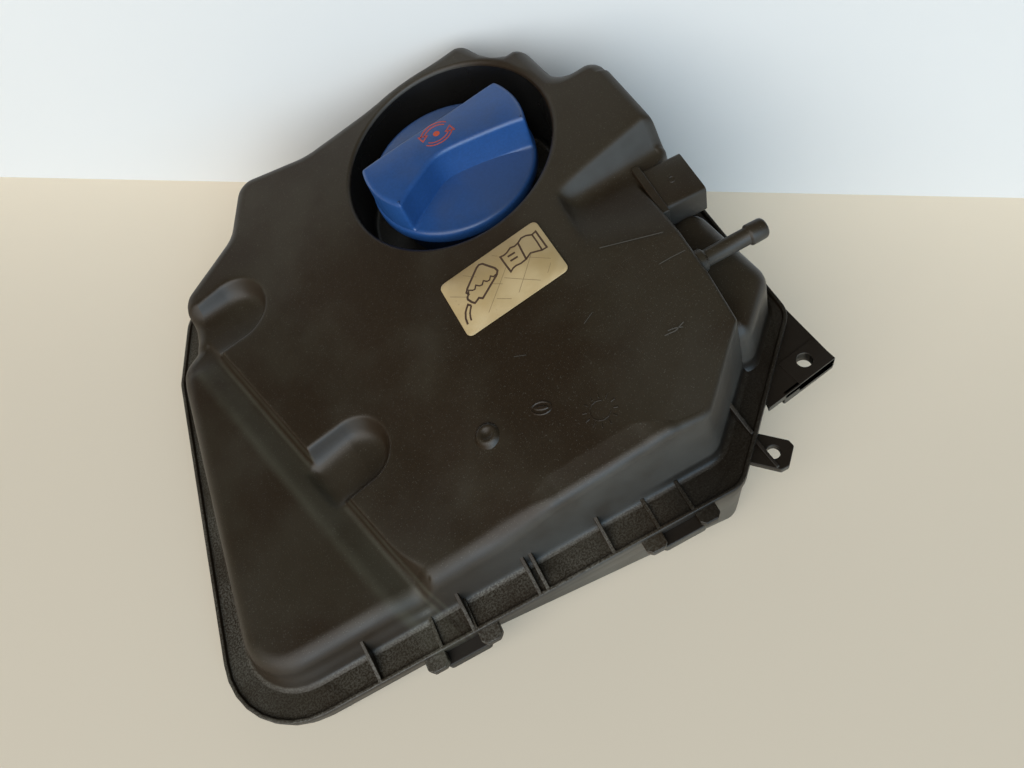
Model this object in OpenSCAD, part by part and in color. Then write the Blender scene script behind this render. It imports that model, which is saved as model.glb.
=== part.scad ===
// Coolant expansion tank: two welded shells, a screw cap with its valves, a level sensor socket.
// Origin: centre of the filler neck's mouth. +Z: out of the neck. +X: towards the sensor socket.
// +Y: away from the long straight side that carries the two clip tabs.

/* [Walls] */
// Wall of both shells
wall = 3; // [2:0.1:4]
// Lean of the upper shell's sides, measured at the flange
side_lean = 2; // [0.5:0.5:3]
// Rounding between the sides and the top
shoulder_r = 7; // [5:0.5:8]
// Rounding between the lower shell's sides and its floor
floor_r = 6; // [4:0.5:8]

/* [Plan] */
// Filler axis to the left end, at the near left corner
left_reach = 165; // [150:1:180]
// Filler axis to the left end, at the far corner beside the upper dimple
left_far_reach = 139; // [134:1:144]
// Filler axis to the long near side, at the left end
near_left = 127; // [118:1:135]
// Filler axis to the long near side, at the right end
near_right = 151; // [142:1:160]
// Filler axis to the right end
right_reach = 69; // [64:1:74]
// Filler axis to the side wall that carries the sensor socket and the vent nipple
socket_side = 45.5; // [43:0.5:48]
// Filler axis to the far side, behind the filler well
far_reach = 47; // [46:0.5:52]
// Filler axis to the far left corner
far_left = 74; // [66:1:82]
// Width of the channel between the upper shell's sides and the rim, near and left
channel_w = 12; // [8:0.5:14]
// Width of the same channel on the right and far sides
channel_far_w = 8; // [6:0.5:10]

/* [Heights] */
// Filler mouth down to the channel floor
channel_depth = 20; // [18:0.5:24]
// Thickness of each shell's weld flange
flange_t = 3; // [2:0.1:4]
// Height of the rim that stands round the channel
rim_h = 1.4; // [1:0.1:3]
// Thickness of the rim that stands round the channel
rim_t = 1.4; // [1:0.1:2.5]
// Height of the top above the filler mouth, at the filler axis
top_rise = 15; // [13:0.5:18]
// Slope of the top, rising to the right
top_slope = 7.5; // [5:0.5:10]
// Height that the top loses over the ramp between its two folds
ramp_drop = 7.5; // [5:0.5:10]
// Height of the step at the groove
step_h = 6.5; // [4:0.5:8]
// Height of the right shelf above the filler mouth
shelf_rise = 4; // [1:0.5:7]
// Filler mouth down to the lower shell's floor, at the filler axis
sump_depth = 61; // [52:1:70]
// Slope of the lower shell's floor, falling to the right
sump_slope = 13; // [10:0.5:16]

/* [Top features] */
// Slope of the chamfered strip along the right front corner, on top of the top's own
strip_slope = 20; // [12:1:26]
// Width of that strip
strip_w = 15.5; // [12:0.5:18]
// Half width of the two dimples beside the groove
dimple_r = 13; // [10:0.5:14]
// Length of the two dimples, from the groove to the centre of their round end
dimple_l = 18; // [12:0.5:22]
// Slope of the finger recess in front of the socket, below the top
recess_slope = 17; // [12:1:20]

/* [Filler] */
// Radius of the neck's bore
bore_r = 22.2; // [20:0.1:23]
// Wall of the neck, thread included
neck_wall = 3.4; // [3:0.1:4.5]
// Radius of the well round the neck
well_r = 42.5; // [41:0.1:43]
// Depth of the well below the filler mouth
well_depth = 17; // [14:0.5:19]

/* [Cap] */
// Radius of the cap's disc
cap_r = 34; // [33:0.1:36]
// Height of the cap's disc edge above the filler mouth
cap_rise = 7; // [6.5:0.1:8]
// Height of the grip bar above the disc
grip_h = 14.5; // [12:0.5:20]
// Wall of the cap's moulding
cap_wall = 2.8; // [2.4:0.1:3.4]
// Length of the threaded skirt below the filler mouth
skirt_l = 13; // [10:0.5:14]
// Half width of the grip bar at its waist, on the far side
grip_far_w = 10.5; // [8:0.5:12]
// Half width of the grip bar at its waist, on the near side
grip_near_w = 9; // [7:0.5:10]
// Half width of the grip bar at its flared near corners
grip_flare_w = 18; // [14:0.5:19]

/* [Valves] */
// Thickness of the gasket on the filler mouth
gasket_t = 1.5; // [1:0.1:2]
// Length of the valve body inside the neck
valve_l = 20; // [18:0.5:24]
// Cross section radius of the ring seal round the valve body
o_ring_r = 1.6; // [1.2:0.1:1.8]
// Radius of the seat that the pressure valve closes
seat_r = 9; // [8:0.5:10]
// Radius of the pressure valve's plate
plate_r = 13; // [12.5:0.1:14]
// Wire radius of the pressure spring
press_wire_r = 0.8; // [0.6:0.05:1]
// Wire radius of the vacuum spring
vac_wire_r = 0.35; // [0.3:0.05:0.4]
// Radius of the vacuum valve's stem
stem_r = 1.6; // [1.3:0.1:1.9]

/* [Ports] */
// Outer radius of the vent nipple
vent_r = 3; // [2.6:0.1:3.6]
// Bore radius of the vent nipple
vent_bore_r = 1.8; // [1.2:0.1:2]
// Length of the vent nipple outside the wall
vent_l = 24; // [18:0.5:30]
// Outer radius of the outlet spigot
outlet_r = 10; // [9:0.1:11]
// Bore radius of the outlet spigot
outlet_bore_r = 7.5; // [6:0.1:8]
// Length of the outlet spigot outside the wall
outlet_l = 32; // [24:0.5:36]

/* [Level sensor] */
// Width of the socket housing
socket_w = 20; // [18:0.5:22]
// Height of the socket housing
socket_h = 12; // [11:0.5:13]
// Length of the socket housing outside the wall
socket_l = 17; // [14:0.5:20]
// Wall of the socket housing
socket_wall = 1.8; // [1.4:0.1:2.2]
// Radius of the level pins
pin_r = 1; // [0.8:0.05:1.2]
// Distance between the level pins
pin_pitch = 8; // [6:0.5:9]
// Depth of the longer level pin below the socket's axis
pin_depth = 48; // [30:1:52]

/* [Fixings] */
// Thickness of the fixing bracket and of the small tab
bracket_t = 3; // [2.5:0.1:4]
// Radius of the bolt hole in the fixing bracket
bolt_hole_r = 2.8; // [2.2:0.1:3.6]
// Thickness of the pad round the bolt hole
pad_t = 5; // [4:0.1:7]
// Radius of the hole in the small tab
tab_hole_r = 2.3; // [1.6:0.1:2.8]
// Length of the small tab beyond the rim
tab_l = 13; // [11:0.5:16]
// Width of the clip tabs on the near side
clip_w = 27; // [22:0.5:32]
// Reach of the clip tabs beyond the rim
clip_reach = 5; // [4:0.5:7]
// Thickness of the ribs across the channel
rib_t = 1.4; // [1:0.1:2]

/* [Label] */
// Length of the label
label_l = 41.5; // [36:0.5:44]
// Width of the label
label_w = 25.5; // [20:0.5:28]
// Thickness of the label
label_t = 0.3; // [0.2:0.05:0.5]

/* [Hidden] */
$fn = 64;

// Clearances: between sliding or turning round faces, and of a seated piece
play = 0.3;
seat_gap = 0.05;
// An overlap that lets two shapes of one solid join
bite = 1;
// Beyond every piece, for cutters
far = 260;
// Facets: arc steps at each corner of an outline, and the least radius left by an inset
corner_steps = 4;
least_r = 0.8;

// Levels of the weld: channel floor, flange underside, lower flange underside
floor_z = -channel_depth;
weld_z = floor_z - flange_t;
lower_z = weld_z - flange_t;
well_z = -well_depth;
neck_r = bore_r + neck_wall;

// Creases of the top: each is [x at y = 0, lean in x per y, height]
slope = tan(top_slope);
fold_right = [-50.5, -0.02, top_rise - 50.5 * slope];
fold_left = [-82, -0.079, fold_right[2] - ramp_drop];
ridge = [-119, -0.156, fold_left[2] - 2];
top_creases = [
    [-far, 0, ridge[2] - 8],
    ridge,
    fold_left,
    fold_right,
    [far, 0, top_rise + far * slope]
];
// Creases of the low end, left of the ridge: outer end, crest, gutter, foot of the step
gutter_w = 4.5;
gutter_z = ridge[2] - step_h;
low_creases = [
    [-far, 0, gutter_z - 9],
    [ridge[0] - 2 * gutter_w, -0.125, gutter_z + 1.5],
    [ridge[0] - gutter_w, -0.14, gutter_z],
    [ridge[0] - 1, ridge[1], gutter_z]
];
// The low end stops here, short of the upper dimple
low_far_y = 11;

// Plan corners, anticlockwise: [x, y, radius]
shoulder_plan = [
    [-left_reach, -near_left, 20],
    [5, -near_right, 9],
    [socket_side - 12.5, -near_right + 19.5, 5],
    [socket_side, -66, 3],
    [right_reach - 6, -61, 7],
    [right_reach, -9, 9],
    [right_reach - 16, -4, 6],
    [right_reach - 15, 22, 5],
    [well_r - 2, 24, 4],
    [well_r - 3.5, far_reach, 6],
    [-43, far_reach + 9.5, 25],
    [-far_left, far_reach + 27, 10],
    [-far_left - 18, far_reach + 3, 12],
    [-left_far_reach + 17, 36, 10],
    [-left_far_reach + 10, 15, 8],
    [-left_far_reach, 8, 9]
];
rim_plan = [
    [-left_reach - channel_w - 1.5, -near_left - channel_w + 2.5, 29],
    [4.5, -near_right - channel_w - 1, 10],
    [socket_side + 13.5, -near_right + 26, 10],
    [right_reach + channel_far_w + 1, -2, 14],
    [right_reach - 14 + channel_far_w, 30, 12],
    [well_r - 4 + channel_far_w, far_reach + channel_far_w + 1, 10],
    [-43, far_reach + 9 + channel_far_w, 30],
    [-far_left - 3, far_reach + 27 + channel_far_w, 14],
    [-far_left - 23, far_reach + channel_far_w, 16],
    [-left_far_reach + 12, 31 + channel_far_w, 14],
    [-left_far_reach - 3, 11, 12]
];
shelf_plan = [
    [socket_side - 24, -near_right + 23, 4],
    [socket_side - 9.5, -near_right + 18, 6],
    [socket_side + 10.5, -near_right + 32, 10],
    [socket_side + 11.5, -77, 8],
    [socket_side - 15, -80, 4]
];

// Plan geometry: unit vectors, corner arcs, outlines and insets
function unit(v) = v / norm(v);
function left_of(v) = [-v.y, v.x];
function xy(p) = [p.x, p.y];
function wrap(list, i) = list[(i + len(list)) % len(list)];
function corner_arc(before, at, after, wanted_r) =
    let (
        a = unit(before - at),
        b = unit(after - at),
        half = acos(a * b) / 2,
        room = 0.48 * min(norm(before - at), norm(after - at)) * tan(half),
        r = min(wanted_r, room),
        centre = at + unit(a + b) * r / sin(half),
        start = at + a * r / tan(half) - centre,
        end = at + b * r / tan(half) - centre,
        from = atan2(start.y, start.x),
        swing = (atan2(end.y, end.x) - from + 540) % 360 - 180
    )
    [for (i = [0 : corner_steps])
        centre + r * [cos(from + swing * i / corner_steps), sin(from + swing * i / corner_steps)]];
function outline(plan) = [
    for (i = [0 : len(plan) - 1])
        each corner_arc(xy(wrap(plan, i - 1)), xy(plan[i]), xy(wrap(plan, i + 1)), plan[i][2])
];
function inset(plan, d) = [
    for (i = [0 : len(plan) - 1])
        let (
            inward = unit(xy(plan[i]) - xy(wrap(plan, i - 1))),
            onward = unit(xy(wrap(plan, i + 1)) - xy(plan[i])),
            n1 = left_of(inward),
            n2 = left_of(onward),
            moved = xy(plan[i]) + d * (n1 + n2) / (1 + n1 * n2),
            r = plan[i][2]
        )
        [moved.x, moved.y, cross(inward, onward) > 0 ? max(least_r, r - d) : r + d]
];

// Heights over the plan: along creases, and with the chamfered strip taken off
function crease_x(c, y) = c[0] + c[1] * y;
function over(creases, x, y) = lookup(x, [for (c = creases) [crease_x(c, y), c[2]]]);
strip_dir = unit([46, 36]);
strip_out = [strip_dir.y, -strip_dir.x];
strip_at = [socket_side - 8.5, -near_right + 43];
function past_strip(x, y) = max(0, ([x, y] - strip_at) * strip_out);
function top_height(x, y) =
    y < low_far_y && x < crease_x(ridge, y)
        ? over(low_creases, x, y)
        : over(top_creases, x, y) - tan(strip_slope) * past_strip(x, y);
sump_fall = tan(sump_slope);
sump_flat_z = lower_z - wall - 0.5;
sump_left = (-sump_depth - sump_flat_z) / sump_fall;
sump_creases = [
    [-far, 0, sump_flat_z],
    [sump_left, 0, sump_flat_z],
    [far, 0, -sump_depth - far * sump_fall]
];
function sump_height(x, y) = over(sump_creases, x, y);

// A solid through a stack of rings. Each level is [inset, follows the surface, height or offset]
module ring_stack(plan, levels, height) {
    rings = [
        for (level = levels)
            [for (p = outline(inset(plan, level[0])))
                [p.x, p.y, level[1] ? height(p.x, p.y) + level[2] : level[2]]]
    ];
    n = len(rings[0]);
    sides = [
        for (k = [0 : len(rings) - 2], i = [0 : n - 1])
            let (j = (i + 1) % n, b = k * n, t = b + n)
            each [[b + i, t + i, t + j], [b + i, t + j, b + j]]
    ];
    bottom = [for (i = [0 : n - 1]) i];
    top = [for (i = [0 : n - 1]) len(rings) * n - 1 - i];
    polyhedron(points = [for (ring = rings) each ring], faces = concat([bottom], sides, [top]));
}

// A block between a creased surface and a flat level, over a band of y
module creased_block(creases, from_y, to_y, flat_z, drop = 0) {
    n = len(creases);
    surface = [for (y = [from_y, to_y]) for (c = creases) [crease_x(c, y), y, c[2] - drop]];
    flat = [for (p = surface) [p.x, p.y, flat_z]];
    strips = [
        for (i = [0 : n - 2])
            each [[i, n + i, n + i + 1], [i, n + i + 1, i + 1]]
    ];
    under = [for (f = strips) [for (i = [2 : -1 : 0]) f[i] + 2 * n]];
    near = [
        for (i = [0 : n - 2])
            each [[i, i + 1, 2 * n + i + 1], [i, 2 * n + i + 1, 2 * n + i]]
    ];
    back = [for (f = near) [for (i = [2 : -1 : 0]) f[i] + n]];
    ends = [[0, 2 * n, 3 * n], [0, 3 * n, n], [n - 1, 2 * n - 1, 4 * n - 1], [n - 1, 4 * n - 1, 3 * n - 1]];
    faces = concat(strips, under, near, back, ends);
    above = flat_z > creases[0][2];
    polyhedron(points = concat(surface, flat), faces = above ? [for (f = faces) [f[2], f[1], f[0]]] : faces);
}

// A block that stands on a sloping floor over a plan of a few corners
module sloped_block(plan, floor_height, top_z) {
    n = len(plan);
    low = [for (p = plan) [p.x, p.y, floor_height(p.x, p.y)]];
    high = [for (p = plan) [p.x, p.y, top_z]];
    sides = [
        for (i = [0 : n - 1])
            let (j = (i + 1) % n)
            each [[i, n + i, n + j], [i, n + j, j]]
    ];
    polyhedron(
        points = concat(low, high),
        faces = concat([[for (i = [0 : n - 1]) i]], sides, [[for (i = [0 : n - 1]) 2 * n - 1 - i]])
    );
}

// The upper shell's form, drawn thinner by t on every side
high_z = 60;
module upper_form(t) {
    r = shoulder_r;
    intersection() {
        ring_stack(
            shoulder_plan,
            [
                [t, false, t > 0 ? weld_z - bite : weld_z],
                [side_lean + t, true, -r - t],
                [side_lean + t + r * 0.13, true, -r * 0.5 - t],
                [side_lean + t + r * 0.5, true, -r * 0.13 - t],
                [side_lean + t + r, true, 0.4 - t],
                [side_lean + t + r, false, high_z]
            ],
            function (x, y) top_height(x, y)
        );
        creased_block(top_creases, -far, far, -far, t);
    }
}

module shelf_form(t) {
    r = shoulder_r;
    ring_stack(
        shelf_plan,
        [
            [t, false, t > 0 ? weld_z - bite : weld_z],
            [side_lean / 2 + t, false, shelf_rise - r - t],
            [side_lean / 2 + t + r * 0.13, false, shelf_rise - r * 0.5 - t],
            [side_lean / 2 + t + r * 0.5, false, shelf_rise - r * 0.13 - t],
            [side_lean / 2 + t + r, false, shelf_rise - t]
        ],
        function (x, y) 0
    );
}

// What is sunk into the upper shell, drawn larger by t on every side
module low_end(t) {
    creases = [for (c = low_creases) [c[0], c[1], c[2]]];
    step = [ridge[0] + t, ridge[1], gutter_z + step_h * 0.6];
    top_edge = [ridge[0] + t + 0.5, ridge[1], ridge[2] + bite];
    creased_block(concat(creases, [step, top_edge]), -far, low_far_y + t, high_z, t);
}

module dimple(y, t) {
    x = crease_x(ridge, y);
    z = gutter_z + 1 - t;
    translate([x + dimple_l, y, z])
        cylinder(r1 = dimple_r - 2 + t, r2 = dimple_r + 3 + t, h = high_z - z, $fn = 96);
    translate([x - 3, y - dimple_r - t, z])
        cube([dimple_l + 3, 2 * (dimple_r + t), high_z - z]);
}

module well(t) {
    translate([0, 0, well_z - t])
        cylinder(r = well_r + t, h = high_z, $fn = 128);
}

module strip_cut(t) {
    along = strip_dir * 90;
    across = strip_out * 70;
    plan = [strip_at - along, strip_at - along + across, strip_at + along + across, strip_at + along];
    sloped_block(
        plan,
        function (x, y)
            over(top_creases, x, y) - tan(strip_slope) * (([x, y] - strip_at) * strip_out) - t,
        high_z
    );
}

recess_from = [11, -77];
recess_dir = unit([29, -20]);
recess_in = left_of(recess_dir);
module finger_recess(t) {
    right = socket_side + 20;
    plan = [
        recess_from - [t, 0],
        recess_from + recess_dir * 60 - [0, t],
        [right, -80],
        [right, -57 + t],
        [26, -53 + t],
        [21 - t, -54 + t],
        [18 - t, -57 + t]
    ];
    sloped_block(
        plan,
        function (x, y)
            over(top_creases, x, y) - tan(recess_slope) * (([x, y] - recess_from) * recess_in) - t,
        high_z
    );
}

module sunk(t) {
    well(t);
    low_end(t);
    strip_cut(t);
    finger_recess(t);
    dimple(13, t);
    dimple(-76, t);
}

// Sensor socket: its axis runs out of the wall, square to it
socket_turn = -11;
socket_z = 6.8;
socket_root = [socket_side - 2, -70.5, socket_z];
module at_socket() {
    translate(socket_root)
        rotate([0, 0, socket_turn])
            children();
}

module socket_housing() {
    at_socket() {
        translate([-bite, -socket_w / 2, -socket_h / 2])
            cube([socket_l + bite, socket_w, socket_h]);
        translate([-bite, -socket_w / 2 - 2, -socket_h / 2 - 1])
            cube([2 + bite, socket_w + 4, socket_h + 2]);
        translate([4, socket_w / 2 - bite, -2])
            cube([8, bite + 2.5, 1.6]);
    }
}

module socket_hollow() {
    w = socket_w - 2 * socket_wall;
    h = socket_h - 2 * socket_wall;
    at_socket()
        translate([socket_wall, -w / 2, -h / 2])
            cube([socket_l + far, w, h]);
}

module level_pin(side, depth, grow = 0) {
    reach = 14;
    at_socket()
        translate([0, side * pin_pitch / 2, 0]) {
            translate([-reach, 0, 0])
                rotate([0, 90, 0])
                    cylinder(r = pin_r + grow, h = reach + socket_l * 0.6);
            translate([-reach, 0, 0])
                sphere(r = pin_r + grow);
            translate([-reach, 0, -depth])
                cylinder(r = pin_r + grow, h = depth);
        }
}

// Vent nipple: a hose barb on the same wall
vent_turn = -9;
vent_z = 13;
vent_root = [socket_side - 8.5, -105.5, vent_z];
module at_vent() {
    translate(vent_root)
        rotate([0, 90, vent_turn])
            children();
}

module vent_nipple() {
    at_vent() {
        translate([0, 0, -4])
            cylinder(r = vent_r, h = vent_l + 4);
        translate([0, 0, -4])
            cylinder(r = vent_r + 1.2, h = 5.5);
        translate([0, 0, vent_l - 6])
            cylinder(r1 = vent_r, r2 = vent_r + 0.9, h = 1.5);
        translate([0, 0, vent_l - 4.5])
            cylinder(r1 = vent_r + 0.9, r2 = vent_r - 0.4, h = 4.5);
    }
}

// Straight side of the rim: points along it, counted in x, and the frame at such a point
rim_start = [rim_plan[0].x, rim_plan[0].y];
rim_run = unit([rim_plan[1].x, rim_plan[1].y] - rim_start);
rim_turn = atan2(rim_run.y, rim_run.x);
module at_rim(x) {
    p = rim_start + rim_run * (x - rim_start.x) / rim_run.x;
    translate([p.x, p.y, 0])
        rotate([0, 0, rim_turn])
            children();
}
clip_stations = [-98.5, -19.5];
rib_stations = [-127, -93, -69, -66, -42];

module channel_rib() {
    rotate([90, 0, -90])
        translate([0, 0, -rib_t / 2])
            linear_extrude(rib_t)
                polygon([
                    [0.2, floor_z - bite],
                    [0.2, floor_z + rim_h],
                    [-channel_w - 6, floor_z + 9],
                    [-channel_w - 6, floor_z - bite]
                ]);
}

corner_rib_turn = 53;
module corner_rib(x, y) {
    translate([x, y, 0])
        rotate([0, 0, corner_rib_turn])
            channel_rib();
}

clip_ear_w = 7.5;
module clip_ears() {
    for (x = [-clip_w / 2, clip_w / 2 - clip_ear_w])
        translate([x, -clip_reach, weld_z])
            cube([clip_ear_w, clip_reach + 3, flange_t]);
    for (x = [-clip_w / 2 + clip_ear_w - rib_t, clip_w / 2 - clip_ear_w])
        translate([x, 1, floor_z - bite])
            cube([rib_t, channel_w - 2, rim_h + bite]);
}

module upper_shell() {
    color([0.12, 0.115, 0.1])
    difference() {
        union() {
            difference() {
                upper_form(0);
                sunk(0);
            }
            shelf_form(0);
            translate([0, 0, weld_z])
                linear_extrude(flange_t)
                    polygon(outline(rim_plan));
            difference() {
                translate([0, 0, weld_z])
                    linear_extrude(flange_t + rim_h)
                        polygon(outline(rim_plan));
                translate([0, 0, weld_z - bite])
                    linear_extrude(flange_t + rim_h + 2 * bite)
                        polygon(outline(inset(rim_plan, rim_t)));
            }
            for (x = rib_stations)
                at_rim(x)
                    channel_rib();
            corner_rib(24.5, -149);
            corner_rib(45, -134);
            for (x = clip_stations)
                at_rim(x)
                    clip_ears();
            translate([0, 0, well_z - bite])
                cylinder(r = neck_r, h = well_depth + bite, $fn = 96);
            socket_housing();
            vent_nipple();
        }
        difference() {
            union() {
                upper_form(wall);
                shelf_form(wall);
            }
            sunk(wall);
            at_socket()
                translate([-wall, -socket_w / 2 - 2, -socket_h / 2 - 1])
                    cube([far, socket_w + 4, socket_h + 2]);
        }
        translate([0, 0, -far])
            cylinder(r = bore_r, h = 2 * far, $fn = 96);
        socket_hollow();
        at_vent()
            translate([0, 0, -12])
                cylinder(r = vent_bore_r, h = far);
        level_pin(1, pin_depth, seat_gap);
        level_pin(-1, pin_depth, seat_gap);
    }
}

// The lower shell: weld flange, wedge-shaped sump, outlet spigot, fixing bracket and tab
sump_inset = 1.2;
lip_inset = 0.6;
module lower_form(t) {
    r = floor_r;
    intersection() {
        ring_stack(
            inset(rim_plan, sump_inset),
            [
                [side_lean + t + r, false, -2 * far],
                [side_lean + t + r, true, t - 0.4],
                [side_lean + t + r * 0.5, true, r * 0.13 + t],
                [side_lean + t + r * 0.13, true, min(r * 0.5, lower_z - sump_flat_z) + t * 0.5],
                [t, false, t > 0 ? weld_z + bite : weld_z - flange_t / 4]
            ],
            function (x, y) sump_height(x, y)
        );
        creased_block(sump_creases, -far, far, far, -t);
    }
}

outlet_at = [10, far_reach + channel_far_w, -46];
outlet_reach_in = side_lean + wall + floor_r + 3;
module outlet_spigot(grow) {
    translate(outlet_at)
        rotate([-90, 0, 0]) {
            translate([0, 0, -10])
                cylinder(r = outlet_r, h = outlet_l + 10);
            translate([0, 0, outlet_l - 5])
                cylinder(r1 = outlet_r, r2 = outlet_r + 1.2, h = 2);
            translate([0, 0, outlet_l - 3])
                cylinder(r1 = outlet_r + 1.2, r2 = outlet_r - 0.6, h = 3);
        }
}

// Fixing bracket: fills the corner outside the rim's chamfer
bracket_top = weld_z - 1;
bolt_at = [socket_side + 6, -near_right + 10];
tab_turn = 36;
tab_at = [socket_side - 29, -near_right - 3];
module bracket_plan() {
    polygon([
        [socket_side - 15, bolt_at.y - 6],
        [bolt_at.x + 8, bolt_at.y - 6],
        [bolt_at.x + 11, -near_right + 50],
        [socket_side, -near_right + 45]
    ]);
}

module fixings() {
    translate([0, 0, bracket_top - bracket_t])
        linear_extrude(bracket_t)
            bracket_plan();
    translate([bolt_at.x - 7.5, bolt_at.y - 6, bracket_top - pad_t])
        cube([15.5, 10.5, pad_t]);
    translate([socket_side - 8, bolt_at.y - 6, bracket_top - bracket_t - 4])
        cube([22, 1.8, bracket_t + 4]);
    translate([tab_at.x, tab_at.y, bracket_top - bracket_t])
        rotate([0, 0, tab_turn])
            linear_extrude(bracket_t)
                polygon([
                    [-5.5, 6],
                    [-5.5, -tab_l + 2],
                    [-3.5, -tab_l],
                    [4, -tab_l],
                    [5.5, -tab_l + 2],
                    [5.5, 6]
                ]);
}

module clip_bar() {
    w = clip_w - 2 * clip_ear_w;
    translate([-w / 2 - 2, -clip_reach + 0.6, lower_z - 2])
        cube([w + 4, clip_reach + 3, flange_t + 2 - 0.2]);
}

module lower_shell() {
    color([0.13, 0.125, 0.11])
    difference() {
        union() {
            lower_form(0);
            translate([0, 0, lower_z])
                linear_extrude(flange_t)
                    polygon(outline(inset(rim_plan, lip_inset)));
            outlet_spigot();
            fixings();
            for (x = clip_stations)
                at_rim(x)
                    clip_bar();
        }
        lower_form(wall);
        translate(outlet_at)
            rotate([-90, 0, 0])
                translate([0, 0, -outlet_reach_in])
                    cylinder(r = outlet_bore_r, h = far);
        translate([bolt_at.x, bolt_at.y, -far])
            cylinder(r = bolt_hole_r, h = far);
        translate([tab_at.x, tab_at.y, -far])
            rotate([0, 0, tab_turn])
                translate([0, -tab_l * 0.55, 0])
                    cylinder(r = tab_hole_r, h = far);
    }
}

module level_pin_long() {
    color([0.72, 0.7, 0.62])
        level_pin(1, pin_depth);
}

module level_pin_short() {
    color([0.72, 0.7, 0.62])
        level_pin(-1, pin_depth * 0.6);
}

label_at = [-16, -64.5];
label_turn = -6.5;
module label() {
    color([0.86, 0.78, 0.6])
        translate([label_at.x, label_at.y, top_rise + label_at.x * slope + seat_gap])
            rotate([0, -top_slope, 0])
                rotate([0, 0, label_turn])
                    translate([-label_l / 2, -label_w / 2, 0])
                        cube([label_l, label_w, label_t]);
}

// Cap: a disc with a flared grip bar, hollow from below, round a threaded skirt
disc_under = cap_rise - cap_wall;
skirt_bore = neck_r + play;
module grip_plan(d) {
    r = cap_r - 0.6 - d;
    intersection() {
        circle(r = r, $fn = 96);
        polygon([
            [-r - 1, grip_far_w - 1.5 - d],
            [-r - 1, -grip_flare_w - 1.5 + d],
            [-20, -grip_near_w - 2.8 + d],
            [-7, -grip_near_w + d],
            [12, -grip_near_w - 4.2 + d],
            [r + 1, -grip_flare_w - 1.5 + d],
            [r + 1, grip_far_w - 2 - d],
            [12, grip_far_w + 0.5 - d]
        ]);
    }
}

module cap_handle() {
    color([0.16, 0.29, 0.55])
    difference() {
        union() {
            translate([0, 0, cap_rise - 1.5])
                cylinder(r1 = cap_r, r2 = cap_r - 0.8, h = 1.5, $fn = 96);
            translate([0, 0, -3])
                cylinder(r = cap_r, h = cap_rise + 1.5, $fn = 96);
            translate([0, 0, -skirt_l])
                cylinder(r = skirt_bore + cap_wall, h = skirt_l + cap_rise - bite, $fn = 96);
            translate([0, 0, cap_rise - bite])
                linear_extrude(grip_h + bite)
                    grip_plan(0);
        }
        translate([0, 0, -3 - bite])
            difference() {
                cylinder(r = cap_r - cap_wall, h = disc_under + 3 + bite, $fn = 96);
                translate([0, 0, -far])
                    cylinder(r = skirt_bore + cap_wall, h = 2 * far, $fn = 96);
            }
        translate([0, 0, -skirt_l - bite])
            cylinder(r = skirt_bore, h = skirt_l + bite + disc_under, $fn = 96);
        intersection() {
            translate([0, 0, disc_under - bite])
                linear_extrude(grip_h + cap_rise - disc_under + bite - cap_wall)
                    grip_plan(cap_wall);
            translate([0, 0, disc_under - bite])
                cylinder(r = skirt_bore - 1, h = grip_h + far, $fn = 96);
        }
    }
    color([0.16, 0.29, 0.55])
        for (turn = [0 : 120 : 240])
            rotate([0, 0, turn])
                clip_lug();
}

// Lugs that hold the valve body up in the cap
flange_r = neck_r - 0.3;
flange_bottom = gasket_t;
module clip_lug() {
    intersection() {
        difference() {
            translate([0, 0, play])
                cylinder(r = skirt_bore + 0.5, h = gasket_t - 2 * play, $fn = 96);
            translate([0, 0, -bite])
                cylinder(r = flange_r - 0.6, h = gasket_t + 2 * bite, $fn = 96);
        }
        translate([0, -4, 0])
            cube([far, 8, gasket_t]);
    }
}

// Valve body: flange on the gasket, sleeve in the neck, seat at the bottom
sleeve_r = bore_r - 0.35;
valve_bore = sleeve_r - 4.4;
seat_z = -valve_l + 2.5;
groove_z = -10;
module valve_body() {
    color([0.1, 0.1, 0.1])
        rotate_extrude($fn = 96)
            difference() {
                polygon([
                    [seat_r, -valve_l],
                    [sleeve_r, -valve_l],
                    [sleeve_r, flange_bottom],
                    [flange_r, flange_bottom],
                    [flange_r, disc_under - play],
                    [valve_bore, disc_under - play],
                    [valve_bore, seat_z],
                    [seat_r, seat_z]
                ]);
                translate([bore_r - play - 2 * o_ring_r, groove_z - o_ring_r])
                    square(2 * o_ring_r);
            }
}

module ring(inner, outer, bottom, height) {
    translate([0, 0, bottom])
        difference() {
            cylinder(r = outer, h = height, $fn = 96);
            translate([0, 0, -bite])
                cylinder(r = inner, h = height + 2 * bite, $fn = 96);
        }
}

module neck_gasket() {
    color([0.08, 0.08, 0.08])
        ring(sleeve_r + seat_gap, flange_r - 0.8, 0, gasket_t);
}

module valve_body_o_ring() {
    color([0.08, 0.08, 0.08])
        translate([0, 0, groove_z])
            rotate_extrude($fn = 96)
                translate([bore_r - play - o_ring_r, 0])
                    circle(r = o_ring_r - seat_gap);
}

// Retainer: closes the valve body's bore, holds the pressure spring down
retainer_t = 2.2;
retainer_z = disc_under - play - retainer_t - 1;
vent_holes = 6;
module spring_retainer() {
    color([0.14, 0.14, 0.14])
        difference() {
            union() {
                translate([0, 0, retainer_z])
                    cylinder(r = valve_bore - seat_gap, h = retainer_t, $fn = 96);
                ring(5, 6.4, retainer_z - 2, 2 + bite);
            }
            for (turn = [0 : 360 / vent_holes : 359])
                rotate([0, 0, turn])
                    translate([valve_bore * 0.82, 0, retainer_z - far / 2])
                        cylinder(r = 1.4, h = far);
        }
}

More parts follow.
